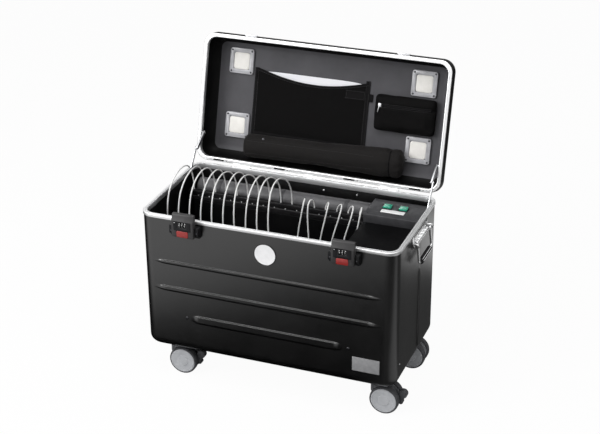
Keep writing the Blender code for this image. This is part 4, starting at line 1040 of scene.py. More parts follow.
cornered = (
    ("castor_hood_", "castorHood_", .0009, "hoodGrey", "hood_grey"),
    ("brake_pedal_", "brakePedal_", .0012, "pedalGrey", "hood_grey"),
)
sides = ("left", "right")
corners = ("front_left", "front_right", "rear_left", "rear_right")


def makeEased():
    for node, name, width, material, slot in eased:
        softened(node, name, width, material)
    for side in sides:
        for node, name, width, material, slot in sided:
            softened(node + side, name + side, width, material)
    for corner in corners:
        for node, name, width, material, slot in cornered:
            if node + corner in frame["nodes"]:
                softened(node + corner, name + corner, width, material)
    nodeFinish("mains_box", "linerBlack")


makeEased()


# Cable duct, panel trim, bay trim and inlet pins

duct = {"groove": (.0040, .0046, .0058, .0064), "grooveDepth": .0008, "steps": 28, "ease": .0012,
        "clipInset": .060, "clipHalf": .005, "clipProud": .0009, "clipSunk": .0004, "clipSteps": 24,
        "clipEase": .0003}


def makeDuct():
    low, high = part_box("cable_duct")
    radius = (high.y - low.y) / 2
    centre = (low.y + radius, high.z - radius)
    depth = duct["grooveDepth"]
    wall = [(0.0, 0.0), *zip((0.0, depth, depth, 0.0), duct["groove"])]
    outline = [(low.y + inward, low.z + up) for inward, up in wall]
    outline += arcPoints(centre, radius, pi, 0.0, duct["steps"])
    outline += [(high.y - inward, low.z + up) for inward, up in reversed(wall)]
    addPiece("cableDuct", drawnOut(outline, "X", low.x, high.x, duct["ease"]), "ductGrey", "body",
             ["cable_duct"])
    outer = arcPoints(centre, radius + duct["clipProud"], pi, 0.0, duct["clipSteps"])
    inner = arcPoints(centre, radius - duct["clipSunk"], 0.0, pi, duct["clipSteps"])
    clips = []
    for x in (low.x + duct["clipInset"], (low.x + high.x) / 2, high.x - duct["clipInset"]):
        clips.append(drawnOut(outer + inner, "X", x - duct["clipHalf"], x + duct["clipHalf"],
                              duct["clipEase"]))
    addPiece("ductClips", joined(clips), "panelGrey", "body", ())


panelTrim = {"label": (.060, .0170), "labelFront": .0262, "labelX": .2365, "labelEase": .00012,
             "round": .0012, "thick": .0004, "sunk": .0002, "screwInset": .0075, "screwLift": .0001}
bezel = {"gap": .0006, "wide": .0022, "rise": .0011, "deep": .002, "round": .0012}
pull = {"toFront": .030, "half": (.022, .007), "round": .005,
        "levels": ((.0, -.0006), (.0016, -.0002), (.0016, .0008), (.0008, .0012), (-.0012, .0006))}


def topScrews(low, high):
    # One screw in from each corner of a plate
    inset = panelTrim["screwInset"]
    return [((x, y, high.z + panelTrim["screwLift"]), (0, 0, 1)) for x in (low.x + inset, high.x - inset)
            for y in (low.y + inset, high.y - inset)]


def makePanelTrim():
    top, sunk = panelHigh.z, panelTrim["sunk"]
    halfU, halfV = (size / 2 for size in panelTrim["label"])
    centre = (panelTrim["labelX"], panelTrim["labelFront"])
    outline = roundedBox(halfU, halfV, panelTrim["round"], 4, centre)
    label = drawnOut(outline, "Z", top - sunk, top + panelTrim["thick"], panelTrim["labelEase"])
    addPiece("panelLabel", label, "labelWhite", "body", ())
    wide, rise = bezel["wide"], bezel["rise"]
    levels = ((0.0, top - bezel["deep"]), (wide, top - sunk), (wide, top + rise * .6),
              (wide * .75, top + rise), (.0006, top + rise), (0.0, top + rise * .7))
    bezels = []
    for side in sides:
        low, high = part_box("rocker_" + side)
        half = ((high.x - low.x) / 2 + bezel["gap"], (high.y - low.y) / 2 + bezel["gap"])
        middle = ((low.x + high.x) / 2, (low.y + high.y) / 2)
        bezels.append(ringSkin(boxRings(half, bezel["round"], middle, levels, 5), closed=True))
    addPiece("rockerBezels", joined(bezels), "lockBlack", "body", ())
    low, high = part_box("bay_cover")
    fasteners("panelScrews", topScrews(panelLow, panelHigh) + topScrews(low, high), "body")
    centre = ((low.x + high.x) / 2, low.y + pull["toFront"])
    levels = [(grow, high.z + up) for grow, up in pull["levels"]]
    grip = ringSkin(boxRings(pull["half"], pull["round"], centre, levels))
    addPiece("coverPull", grip, "panelGrey", "body", ())


inlet = {"deep": .012, "halfU": .0010, "halfV": .0024, "round": .0005, "root": .001, "length": .0085,
         "ease": .0003, "pins": ((-.007, -.002), (.007, -.002), (0.0, .0025)), "screwOut": .0195,
         "screwLift": .0001}


def makeInletPins():
    low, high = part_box("power_inlet")
    x, z = (low.x + high.x) / 2, (low.z + high.z) / 2
    floor = high.y - inlet["deep"]
    pins = []
    for dx, dz in inlet["pins"]:
        outline = roundedBox(inlet["halfU"], inlet["halfV"], inlet["round"], 3, (x + dx, z + dz))
        pins.append(drawnOut(outline, "Y", floor - inlet["root"], floor + inlet["length"], inlet["ease"]))
    addPiece("inletPins", joined(pins), "screwSteel", "body", ())
    out, face = inlet["screwOut"], high.y + inlet["screwLift"]
    fasteners("inletScrews", [((x + side * out, face, z), (0, 1, 0)) for side in (-1, 1)], "body")


wallScrews = {"rearX": (-.25, -.10, .03, .1195), "belowRim": .026, "lift": .0001, "boltBefore": .010,
              "boltAfter": .012, "endForward": .125, "endUp": .057}


def makeWallScrews():
    # Screws on the tub's walls: the rear wall inside, both ends of the low rib, and low on the ends
    w = wallScrews
    rear = shellHigh.y - case["wall"] - w["lift"]
    spots = [((x, rear, rim - w["belowRim"]), (0, -1, 0)) for x in w["rearX"]]
    fasteners("rearWallScrews", spots, "body")
    rib = tub["ribs"][2]
    marks = []
    for wall, way, end in ((shellLow.y, -1, "to"), (shellHigh.y, 1, "backTo")):
        for x in (rib["from"] - w["boltBefore"], rib[end] + w["boltAfter"]):
            marks.append(((x, wall, case["base"] + rib["at"]), (0, way, 0)))
    fasteners("ribBolts", marks, "body")
    y, z = case["middle"] - w["endForward"], case["base"] + w["endUp"]
    fasteners("endRivets", [((side * case["halfX"], y, z), (side, 0, 0)) for side in (-1, 1)], "body")


makeDuct()
makePanelTrim()
makeInletPins()
makeWallScrews()
print("inside fittings")


# Locks: dial windows, dials and their numbers

lockTrim = {"halfWide": .0225, "low": .0198, "high": -.0045, "proud": .0005, "window": .0115,
            "windowHalf": .0076, "windowRound": .0012, "sunk": .0006, "round": .0022, "dialEase": .00045,
            "digit": .0050, "digitRise": .00008, "screwInset": .0052, "screwLift": .0001, "pinInset": .0085,
            "pinUp": .0005}


def makeDialWindow(side, axle):
    low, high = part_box("lock_flap_" + side)
    x, front = (low.x + high.x) / 2, low.y
    middle = rim - (lockTrim["low"] + lockTrim["high"]) / 2
    halfTall = (lockTrim["low"] - lockTrim["high"]) / 2
    outer = roundedBox(lockTrim["halfWide"], halfTall, lockTrim["round"], 5, (x, middle))
    inner = roundedBox(lockTrim["window"], lockTrim["windowHalf"], lockTrim["windowRound"], 5, (x, axle.z))
    back, face, edge = front + lockTrim["sunk"], front - lockTrim["proud"], front - lockTrim["proud"] * .6
    rings = [[(u, back, v) for u, v in inner], [(u, back, v) for u, v in outer],
             [(u, edge, v) for u, v in outer],
             [(blendBetween(u, x, .02), face, blendBetween(v, middle, .03)) for u, v in outer],
             [(blendBetween(u, x, -.03), face, blendBetween(v, axle.z, -.03)) for u, v in inner],
             [(u, edge, v) for u, v in inner]]
    addPiece("dialWindow_" + side, ringSkin(rings, closed=True), "lockBlack", "lock_flap_" + side, ())


def makeDials(side):
    low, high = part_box(f"dial_{side}_2")
    apothem = (high.z - low.z) / 2 * cos(pi / 10)
    axle = Vector(((low.x + high.x) / 2, low.y + apothem, (low.z + high.z) / 2))
    makeDialWindow(side, axle)
    stand = Matrix.Rotation(pi / 2, 4, "X")  # text lies in XY; stood up it faces -Y
    for number in (1, 2, 3):
        node = f"dial_{side}_{number}"
        softened(node, f"dialWheel_{side}_{number}", lockTrim["dialEase"], "lockBlack")
        low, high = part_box(node)
        centre = Vector(((low.x + high.x) / 2, axle.y, axle.z))
        digits = []
        for value in range(10):
            turn = Matrix.Rotation(pi / 5 * value, 4, "X")
            place = Matrix.Translation(centre) @ turn @ Matrix.Translation((0, -apothem, 0)) @ stand
            digits.append(moved(digitShape(str(value)), place))
        addPiece(f"dialNumbers_{side}_{number}", joined(digits), "digitWhite", node, ())


def digitShape(text):
    curve = bpy.data.curves.new("digit", "FONT")
    curve.body = text
    curve.size = lockTrim["digit"]
    curve.align_x = "CENTER"
    curve.align_y = "CENTER"
    curve.extrude = lockTrim["digitRise"]
    curve.resolution_u = 3
    obj = bpy.data.objects.new("digit", curve)
    bpy.context.scene.collection.objects.link(obj)
    mesh = bpy.data.meshes.new_from_object(obj.evaluated_get(bpy.context.evaluated_depsgraph_get()))
    bm = bmesh.new()
    bm.from_mesh(mesh)
    bpy.data.objects.remove(obj)
    bpy.data.meshes.remove(mesh)
    return bm


for lockSide in sides:
    makeDials(lockSide)


def makeLockTrim():
    spots, dots = [], []
    for side in sides:
        low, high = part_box("lock_base_" + side)
        for x in (low.x + lockTrim["screwInset"], high.x - lockTrim["screwInset"]):
            spots.append(((x, low.y - lockTrim["screwLift"], (low.z + high.z) / 2), (0, -1, 0)))
        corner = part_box("lock_flap_" + side)[0]
        dots.append(((corner.x + lockTrim["pinInset"], corner.y - lockTrim["proud"],
                      rim + lockTrim["pinUp"]), (0, -1, 0)))
    fasteners("lockScrews", spots, "body")
    for side, dot in zip(sides, dots):
        fasteners("lockPin_" + side, [dot], "lock_flap_" + side)


makeLockTrim()
print("locks")


# Badge

badge = {"disc": .0268, "pole": .0004, "sides": 72}


def makeBadge():
    low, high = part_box("front_badge")
    centre = Vector((0, high.y, (low.z + high.z) / 2))
    edge = (high.z - low.z) / 2
    inner = badge["disc"]
    disc = [(badge["pole"], -.0018), (.012, -.00178), (inner - .0016, -.0015), (inner - .0008, -.0017),
            (inner - .0002, -.0014), (inner, -.0002), (badge["pole"], -.0002)]
    addPiece("badgeDisc", moved(turned(disc, badge["sides"]), Matrix.Translation(centre)), "badgeSilver",
             "body", ["front_badge"])
    ring = [(inner + .0001, -.0001), (inner + .0001, -.0016), (inner + .0006, -.0020),
            (edge - .0006, -.0016), (edge, -.0006), (edge, -.0001)]
    addPiece("badgeRing", moved(turned(ring, badge["sides"], closed=True), Matrix.Translation(centre)),
             "glossBlack", "body", ["front_badge"])


makeBadge()


# Drop handles

handle = {"barRadius": .0030, "grip": .0068, "bend": .010, "legInset": .010, "ribs": 9, "ribEnd": .005,
          "lineRadius": .0010, "lineEnd": .003, "lineTurns": (radians(52), radians(8)), "plateFace": .0023,
          "rivetDown": .0085, "rivetEnd": .014, "rivetMiddle": .018, "barrels": 5, "barrelRadius": .0045,
          "barrelBore": .0012, "barrelEase": .0006, "barrelGap": .0012, "barrelOut": .0042, "barrelEnd": .003,
          "capRadius": .0040, "capRun": (.0001, .0009), "ribCut": .0006, "ribHalf": (.0014, .0009),
          "leafSunk": .0002, "leafUp": .0030, "leafThick": (.0020, .0012), "leafDown": (.0160, .0155),
          "leafEase": .0003}


def handlePlaces(side):
    # The way that the side faces, the pivot, the sizes of the bail and its grip, and where it hangs
    sign = -1 if side == "left" else 1
    pivot = Vector(joints["handle_swing_" + side]["pos_m"])
    barLow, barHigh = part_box("handle_bail_" + side)
    gripLow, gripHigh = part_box("handle_grip_" + side)
    hang = (gripLow + gripHigh) / 2 - pivot
    reach = (barHigh.y - barLow.y) / 2
    return {"sign": sign, "pivot": pivot, "reach": reach, "half": reach - handle["legInset"],
            "halfGrip": (gripHigh.y - gripLow.y) / 2, "drop": hypot(hang.x, hang.z),
            "place": Matrix.Translation(pivot) @ Matrix.Rotation(-sign * atan2(abs(hang.x), -hang.z), 4, "Y")}


def makeBail(side, at):
    bar, bend, half = handle["barRadius"], handle["bend"], at["half"]
    route = [(at["reach"], 0.0), (half + 2 * bar, 0.0)]
    route += arcPoints((half + bar, -bar), bar, pi / 2, pi, 6)[1:]
    route += arcPoints((half - bend, bend - at["drop"]), bend, 0, -pi / 2, 10)
    route += [(-y, z) for y, z in reversed(route)]
    tube = sweptTube([(0, y, z) for y, z in route], bar * .985, 20)
    body = "handle_bail_" + side
    addPiece("handleBar_" + side, tube, "handleChrome", body, [body], at["place"])


def makeGrip(side, at):
    # Ribbed rubber, with two bright lines let into its outer side
    body = "handle_bail_" + side
    place = at["place"] @ Matrix.Translation((0, 0, -at["drop"]))
    radius, half = handle["grip"], at["halfGrip"]
    end = [(handle["barRadius"] + .0002, half), (radius - .0012, half), (radius - .0003, half - .0006),
           (radius, half - .0016)]
    profile = [(r, -y) for r, y in end]
    step = (2 * half - 2 * handle["ribEnd"]) / handle["ribs"]
    low, (wide, narrow) = radius - handle["ribCut"], handle["ribHalf"]
    for i in range(handle["ribs"]):
        middle = -half + handle["ribEnd"] + step * (i + .5)
        profile += [(radius, middle - wide), (low, middle - narrow), (low, middle + narrow),
                    (radius, middle + wide)]
    profile += reversed(end)
    addPiece("handleGrip_" + side, turned(profile, 32, closed=True), "gripRubber", body,
             ["handle_grip_" + side], place)
    lines = []
    for a in handle["lineTurns"]:
        x, z = at["sign"] * radius * cos(a), radius * sin(a)
        run = [(x, y, z) for y in (-half + handle["lineEnd"], half - handle["lineEnd"])]
        lines.append(sweptTube(run, handle["lineRadius"], 10))
    addPiece("gripLines_" + side, joined(lines), "handleChrome", body, (), place)


def makeHandleMount(side, at):
    # Rivets, hinge barrels and their leaf on the plate
    sign, pivot = at["sign"], at["pivot"]
    plateLow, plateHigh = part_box("handle_plate_" + side)
    face = sign * (case["halfX"] + handle["plateFace"])
    rows = (plateLow.y + handle["rivetEnd"], pivot.y - handle["rivetMiddle"],
            pivot.y + handle["rivetMiddle"], plateHigh.y - handle["rivetEnd"])
    spots = [((face, y, plateHigh.z - handle["rivetDown"]), (sign, 0, 0)) for y in rows]
    fasteners("handleRivets_" + side, spots, "body")
    run = at["half"] - handle["barRadius"] - handle["barrelEnd"]
    outer, bore, ease = (handle[k] for k in ("barrelRadius", "barrelBore", "barrelEase"))
    pitch = 2 * run / handle["barrels"]
    centre = Matrix.Translation((face + sign * handle["barrelOut"], pivot.y, pivot.z))
    barrels = []
    for i in range(handle["barrels"]):
        start = i * pitch - run
        stop = start + pitch - handle["barrelGap"]
        profile = [(bore, start), (outer - .0005, start), (outer, start + ease), (outer, stop - ease),
                   (outer - .0005, stop), (bore, stop)]
        barrels.append(moved(turned(profile, 24), centre))
    addPiece("handleBarrel_" + side, joined(barrels), "handleChrome", "body", ())
    back, top = face - sign * handle["leafSunk"], pivot.z + handle["leafUp"]
    fronts = [face + sign * thick for thick in handle["leafThick"]]
    feet = [plateHigh.z - down for down in handle["leafDown"]]
    strap = [(back, top), (fronts[0], top), (fronts[1], feet[0]), (back, feet[1])]
    strapLeaf = drawnOut(strap, "Y", pivot.y - run, pivot.y + run, handle["leafEase"])
    addPiece("handleLeaf_" + side, strapLeaf, "handleChrome", "body", ())


def makeBailCaps(side, at):
    caps = []
    for way in (-1, 1):
        run = [(0, way * (at["reach"] + off), 0) for off in handle["capRun"]]
        caps.append(sweptTube(run, handle["capRadius"], 20))
    addPiece("handleCaps_" + side, joined(caps), "handleChrome", "handle_bail_" + side, (),
             at["place"])


for handleSide in sides:
    handlePlace = handlePlaces(handleSide)
    for makeOne in (makeBail, makeGrip, makeHandleMount, makeBailCaps):
        makeOne(handleSide, handlePlace)
print("handles")


# Castors

wheel = {"outer": .027, "inner": .0085, "tread": .0042, "axle": .0040, "sides": 72}


def makeWheels(corner):
    low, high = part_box("castor_wheels_" + corner)
    centre = (low + high) / 2
    radius = (high.z - low.z) / 2
    place = Matrix.Translation(centre)
    body, node = "wheels_" + corner, "castor_wheels_" + corner
    face = radius - wheel["tread"]
    treads, discs = [], []
    for side in (-1, 1):
        o, n = wheel["outer"], wheel["inner"]
        tread = [(face, n + .0012), (radius - .0018, n + .0002), (radius - .0004, n + .0014),
                 (radius, n + .0035), (radius, o - .0055), (radius - .0006, o - .0030),
                 (radius - .0022, o - .0012), (face + .0002, o - .0010), (face, o - .0022)]
        disc = [(wheel["axle"], n + .0004), (face - .0006, n + .0004), (face - .0002, n + .0010),
                (face - .0002, o - .0016), (face - .0010, o - .0006), (face - .0032, o - .0001),
                (face - .0044, o - .0007), (face - .0052, o - .0008), (.0165, o - .0024), (.0150, o - .0025),
                (.0143, o - .0018), (.0128, o - .0016), (.0060, o - .0012), (.0004, o - .0011),
                (.0004, n + .0006)]
        treads.append(turned([(r, side * y) for r, y in tread], wheel["sides"], closed=True))
        discs.append(turned([(r, side * y) for r, y in disc], wheel["sides"], closed=True))
    axle = turned([(wheel["axle"] - .0002, -n - .0008), (wheel["axle"] - .0002, n + .0008)], 24)
    addPiece("wheelTreads_" + corner, moved(joined(treads), place), "treadGrey", body, [node])
    addPiece("wheelDiscs_" + corner, moved(joined(discs), place), "wheelGrey", body, [node])
    addPiece("wheelAxle_" + corner, moved(axle, place), "staySteel", body, [node])


for castorCorner in corners:
    makeWheels(castorCorner)
print("castors")


# Lid stays: pivot rivets

def makeStayRivets():
    for side, sign in zip(sides, (-1, 1)):
        for kind in ("lower", "upper"):
            low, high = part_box(f"stay_{kind}_{side}")
            pivot = Vector(joints[f"stay_{kind}_turn_{side}"]["pos_m"])
            face = low.x if sign > 0 else high.x
            spot = ((face, pivot.y, pivot.z), (-sign, 0, 0))
            fasteners(f"stayRivet_{kind}_{side}", [spot], f"stay_{kind}_{side}")


makeStayRivets()


# Lid cups

cup = {"dish": .0217, "dishDeep": .002, "padRound": .0065, "screwInset": .0057, "plateFace": .006,
       "plateEase": .0010, "padLevels": ((0.0, .0002), (0.0, .00165), (-.0008, .00255), (-.0026, .0030))}


def makeCups():
    spots = []
    for name in ("near_left", "near_right", "far_left", "far_right"):
        node = "lid_cup_" + name
        softened(node, "cupPlate_" + name, cup["plateEase"], "cupGrey")
        low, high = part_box(node)
        centre = (low + high) / 2
        local = lidInverse @ centre
        top = lid["floor"] - lid["lift"] - cup["dishDeep"]
        levels = [(grow, top - depth) for grow, depth in cup["padLevels"]]
        pad = ringSkin(boxRings((cup["dish"], cup["dish"]), cup["padRound"], (local.x, local.y), levels))
        addPiece("cupPad_" + name, pad, "cupCream", "lid", (), lidPlace)
        face = lid["floor"] - lid["lift"] - cup["plateFace"]
        inset = (high.x - low.x) / 2 - cup["screwInset"]
        for su in (-1, 1):
            for sv in (-1, 1):
                spots.append((lidPlace @ Vector((local.x + su * inset, local.y + sv * inset, face)), lidIn))
    fasteners("cupScrews", spots, "lid")


makeCups()
print("lid cups")


# Document pocket in the lid

pocket = {"left": -.208, "right": .106, "near": .0785, "far": .2535, "sag": .0255, "sagAt": -.040,
          "sagHalf": .160, "bulge": .0055, "thick": .0010, "columns": 80, "rows": 44, "band": .011,
          "bandThick": .0016, "bandLift": .0024, "tape": (.0066, .0022), "tapeIn": .0024, "tapeLift": .0003,
          "foot": (.008, .0018), "mouthIn": .0015, "mouthSeam": .0052, "mouthSeamLift": .0016,
          "seamIn": .0016, "seamLift": .0033, "seamEnd": .003, "rest": .0014,
          "creases": ((.0007, 22, 30, 3.1), (.0004, 60, 70, 8.4)),
          "stitch": {"Pitch": .0036, "Length": .0026, "Thick": .0007, "Wide": .0009}}
lining = {"left": -.196, "right": .094, "top": .2470, "foot": .004, "thick": .0004, "columns": 48, "rows": 24,
          "corner": .006, "rest": .0006, "bulge": .00045}
patch = {"x": .070, "along": .2150, "halfU": .026, "halfV": .0115, "thick": .0008, "lift": .0007,
         "seamIn": .002, "seamLift": .0016}
tab = {"along": .2115, "start": -.004, "length": .014, "lift": .0026, "rise": .0008, "width": .020,
       "steps": 6}
pocketFloor = lid["floor"] - lid["lift"]


def mouthAt(x):
    u = (x - pocket["sagAt"]) / pocket["sagHalf"]
    return pocket["far"] - pocket["mouthIn"] - pocket["sag"] * max(0.0, 1 - u * u) ** 1.15


def panelDepth(x, along):
    # How deep the front panel lies: flat at its sewn edges, standing off towards the slack mouth
    u = (x - pocket["left"]) / (pocket["right"] - pocket["left"])
    v = (along - pocket["near"]) / (mouthAt(x) - pocket["near"])
    stand = pocket["bulge"] * (max(0.0, sin(pi * u)) ** 0.8) * (0.25 + 0.75 * v) * smoothStep(v * 6)
    crease = sum(size * noise.noise(Vector((x * wide, along * tall, seed)))
                 for size, wide, tall, seed in pocket["creases"])
    return pocketFloor - pocket["rest"] - stand - crease * (0.3 + 0.7 * v)


def gridMesh(columns, rows, place):
    bm = bmesh.new()
    verts = [[bm.verts.new(place(i / columns, j / rows)) for i in range(columns + 1)]
             for j in range(rows + 1)]
    uv = bm.loops.layers.uv.new("UVMap")
    for j in range(rows):
        for i in range(columns):
            face = bm.faces.new((verts[j][i], verts[j][i + 1], verts[j + 1][i + 1], verts[j + 1][i]))
            for loop, (a, b) in zip(face.loops, ((i, j), (i + 1, j), (i + 1, j + 1), (i, j + 1))):
                loop[uv].uv = (a / columns, b / rows)
    return bm


def thickened(bm, thick):
    # Gives a sheet its thickness
    bmesh.ops.recalc_face_normals(bm, faces=bm.faces)
    whole = bm.faces[:]
    bmesh.ops.solidify(bm, geom=whole, thickness=thick)
    bmesh.ops.recalc_face_normals(bm, faces=bm.faces)
    return bm


def flatArea(bm):
    return sum(f.calc_area() for f in bm.faces)


def makePocketPanel():
    def place(u, v):
        x = blendBetween(pocket["left"], pocket["right"], u)
        along = blendBetween(pocket["near"], mouthAt(x), v)
        return onLid(x, along, panelDepth(x, along))

    panel = gridMesh(pocket["columns"], pocket["rows"], place)
    area = flatArea(panel)
    return addPiece("pocketPanel", thickened(panel, pocket["thick"]), "bagNylon", "lid", ["document_pocket"],
                    sharp=60), area


def makePocketLining():
    foot = pocket["near"] + lining["foot"]

    def place(u, v):
        x = blendBetween(lining["left"], lining["right"], u)
        along = blendBetween(foot, lining["top"] - lining["corner"] * (2 * abs(u - .5)) ** 8, v)
        return onLid(x, along, pocketFloor - lining["rest"] - lining["bulge"] * sin(pi * u) * v)

    sheet = gridMesh(lining["columns"], lining["rows"], place)
    area = flatArea(sheet)
    return addPiece("pocketLining", thickened(sheet, lining["thick"]), "liningWhite", "lid",
                    ["document_pocket"], sharp=60), area


def makePocketTapes():
    # Edging round the slack mouth, then bands down both ends, one along the foot, and a tab
    p = pocket
    xs = [blendBetween(p["left"], p["right"], t) for t in shares(70)]
    edge = [onLid(x, mouthAt(x) - p["tapeIn"], panelDepth(x, mouthAt(x)) - p["tapeLift"]) for x in xs]
    tape = addPiece("pocketTape", sweptStrip(edge, lidIn, *p["tape"]), "tapeNylon", "lid",
                    ["document_pocket"], sharp=60)
    depth = pocketFloor - p["bandLift"]
    bands = []
    for x in (p["left"] + p["band"] / 2, p["right"] - p["band"] / 2):
        run = [onLid(x, blendBetween(p["near"], p["far"], t), depth) for t in shares(20)]
        bands.append(sweptStrip(run, lidIn, p["band"], p["bandThick"]))
    foot = p["near"] + p["foot"][0] / 2
    run = [onLid(blendBetween(p["left"], p["right"], t), foot, depth) for t in shares(30)]
    bands.append(sweptStrip(run, lidIn, *p["foot"]))
    start, lift = p["right"] + tab["start"], pocketFloor - tab["lift"]
    run = [onLid(start + tab["length"] * t, tab["along"], lift + tab["rise"] * t)
           for t in shares(tab["steps"])]
    bands.append(sweptStrip(run, lidIn, tab["width"], p["bandThick"]))
    edging = addPiece("pocketBands", joined(bands), "tapeNylon", "lid", ["document_pocket"],
                      sharp=60)
    return [tape, edging]


def onPatch(a, b, lift):
    x, along = patch["x"] + a, patch["along"] + b
    return onLid(x, along, panelDepth(x, along) - pocket["thick"] - lift)


def makePocketPatch():
    def place(u, v):
        return onPatch((2 * u - 1) * patch["halfU"], (2 * v - 1) * patch["halfV"], patch["lift"])

    return addPiece("pocketPatch", thickened(gridMesh(16, 8, place), patch["thick"]), "tapeNylon", "lid",
                    ["document_pocket"], sharp=60)


def makePocketSeams():
    p = pocket
    xs = [blendBetween(p["left"], p["right"], t) for t in shares(70)[1:-1]]
    lift = p["mouthSeamLift"]
    seams = [[onLid(x, mouthAt(x) - p["mouthSeam"], panelDepth(x, mouthAt(x)) - lift) for x in xs]]
    ends, depth = (p["near"] + p["seamEnd"], p["far"] - p["seamEnd"]), pocketFloor - p["seamLift"]
    for edgeIn in (p["seamIn"], p["band"] - p["seamIn"]):
        for x in (p["left"] + edgeIn, p["right"] - edgeIn):
            seams.append([onLid(x, blendBetween(*ends, t), depth) for t in shares(20)])
    u, v = patch["halfU"] - patch["seamIn"], patch["halfV"] - patch["seamIn"]
    square = ((-u, -v), (u, -v), (u, v), (-u, v), (-u, -v))
    seams.append([onPatch(a, b, patch["seamLift"]) for a, b in square])
    return stitches("pocketStitches", seams, "lockGrey", p["stitch"])


def makePocket():
    front, area = makePocketPanel()
    back, liningArea = makePocketLining()
    trim = makePocketTapes() + [makePocketPatch(), makePocketSeams()]


makePocket()
print("document pocket")


# Padded bags: closed forms, swollen by cloth simulation and pressed flat on the lid's floor

def simulated(bm, name, soft):
    mesh = bpy.data.meshes.new(name)
    bm.to_mesh(mesh)
    bm.free()
    obj = bpy.data.objects.new(name, mesh)
    bpy.context.scene.collection.objects.link(obj)
    remesh = obj.modifiers.new("grid", "REMESH")
    remesh.mode = "VOXEL"
    remesh.voxel_size = soft["voxel"]
    grid = bpy.data.meshes.new_from_object(obj.evaluated_get(bpy.context.evaluated_depsgraph_get()))
    obj.modifiers.remove(remesh)
    obj.data = grid
    rest = [v.co.copy() for v in grid.vertices]
    cloth = obj.modifiers.new("stuffing", "CLOTH")
    settings = cloth.settings
    settings.use_pressure = True
    settings.uniform_pressure_force = soft["pressure"]
    settings.mass = 0.3
    settings.tension_stiffness = soft["stiff"]
    settings.compression_stiffness = soft["stiff"]
    settings.shear_stiffness = soft["stiff"] / 3
    settings.bending_stiffness = soft["bend"]
    settings.effector_weights.gravity = 0.0
    scene = bpy.context.scene
    for step in range(1, soft["frames"] + 1):
        scene.frame_set(step)
    puffed = obj.evaluated_get(bpy.context.evaluated_depsgraph_get()).data
    for vert, before, after in zip(grid.vertices, rest, [v.co.copy() for v in puffed.vertices]):
        shift = after - before
        if shift.length > soft["cap"]:
            shift *= soft["cap"] / shift.length
        vert.co = before + shift
    obj.modifiers.remove(cloth)
    scene.frame_set(1)
    result = bmesh.new()
    result.from_mesh(grid)
    bpy.data.objects.remove(obj)
    return result


def keptInside(bm, depthLow, depthHigh):
    # Holds a form between two depths in the lid
    for vert in bm.verts:
        place = lidInverse @ vert.co
        place.z = max(depthLow, min(depthHigh, place.z))
        vert.co = lidPlace @ place


def subdivided(obj):
    # Rounds off the facets of a bag's coarse grid
    modifier = obj.modifiers.new("round", "SUBSURF")
    modifier.levels = 1
    modifier.render_levels = 1


pouch = {"left": .127, "right": .287, "near": .1345, "far": .2285, "thick": .026, "inset": .0004,
         "round": .009,
         "soft": {"voxel": .0042, "pressure": 3.5, "stiff": 14, "bend": .6, "frames": 16, "cap": .0055},
         "zipAlong": .2005, "zipLeft": .139, "zipRight": .275, "zipTape": (.0110, .0010), "channel": .0042,
         "channelDeep": .0030, "sag": .0016, "seamOut": .0042, "face": .006, "slack": .003,
         "tapeLift": .0004, "toothLift": .0008, "seamLift": .0012, "least": .004,
         "levels": ((.02, .003), (.12, .0006), (.3, 0.0), (.60, .0004), (.84, .0022), (.95, .0055),
                    (1.0, .012)),
         "teeth": {"Pitch": .0016, "Length": .0009, "Thick": .0012, "Wide": .0042},
         "stitch": {"Pitch": .0034, "Length": .0022, "Thick": .0006, "Wide": .0008}}
floorGap = .0002


def pouchBlank():
    # Rounded cushion shape in the closed lid, drawn in towards its face
    halfU, halfV = (pouch["right"] - pouch["left"]) / 2, (pouch["far"] - pouch["near"]) / 2
    centre = ((pouch["left"] + pouch["right"]) / 2, -(pouch["far"] + pouch["near"]) / 2)
    rings = []
    for share, inset in pouch["levels"]:
        outline = roundedBox(halfU - pouch["inset"] - inset, halfV - pouch["inset"] - inset,
                             max(pouch["least"], pouch["round"] - inset * .4), 6, centre)
        rings.append([(u, v, pocketFloor - share * (pouch["thick"] - pouch["slack"])) for u, v in outline])
    return moved(ringSkin(rings), lidPlace)


def makePouch():
    bm = simulated(pouchBlank(), "pouchBlank", pouch["soft"])
    keptInside(bm, pocketFloor - pouch["thick"], pocketFloor - floorGap)
    # The zip's sewn channel draws the cloth in, and the face of the pouch sags beside it
    for vert in bm.verts:
        place = lidInverse @ vert.co
        if place.z > pocketFloor - pouch["face"]:
            continue
        gap = (-place.y - pouch["zipAlong"]) / pouch["channel"]
        drawnIn = pouch["channelDeep"] / (1 + gap * gap * gap * gap)
        sag = pouch["sag"] * noise.noise(Vector((place.x * 30, place.y * 45, 1.7)))
        place.z += drawnIn + sag
        vert.co = lidPlace @ place
    bmesh.ops.smooth_vert(bm, verts=bm.verts, factor=0.3, use_axis_x=True, use_axis_y=True, use_axis_z=True)
    obj = addPiece("zipPouch", bm, "bagNylon", "lid", ["zip_pouch"], sharp=180)
    subdivided(obj)
    makeZip(surfaceDepths(obj))


zipPull = {"half": (.0036, .0045), "round": .0014, "low": -.0012, "high": .0014, "ease": .0004, "lift": .0016,
           "length": .018, "aside": .004, "bow": .0012, "shares": (0, .15, .3, .45, .6, .8, 1.0),
           "radii": (.0009, .0009, .0011, .0013, .0013, .0013, .0011)}


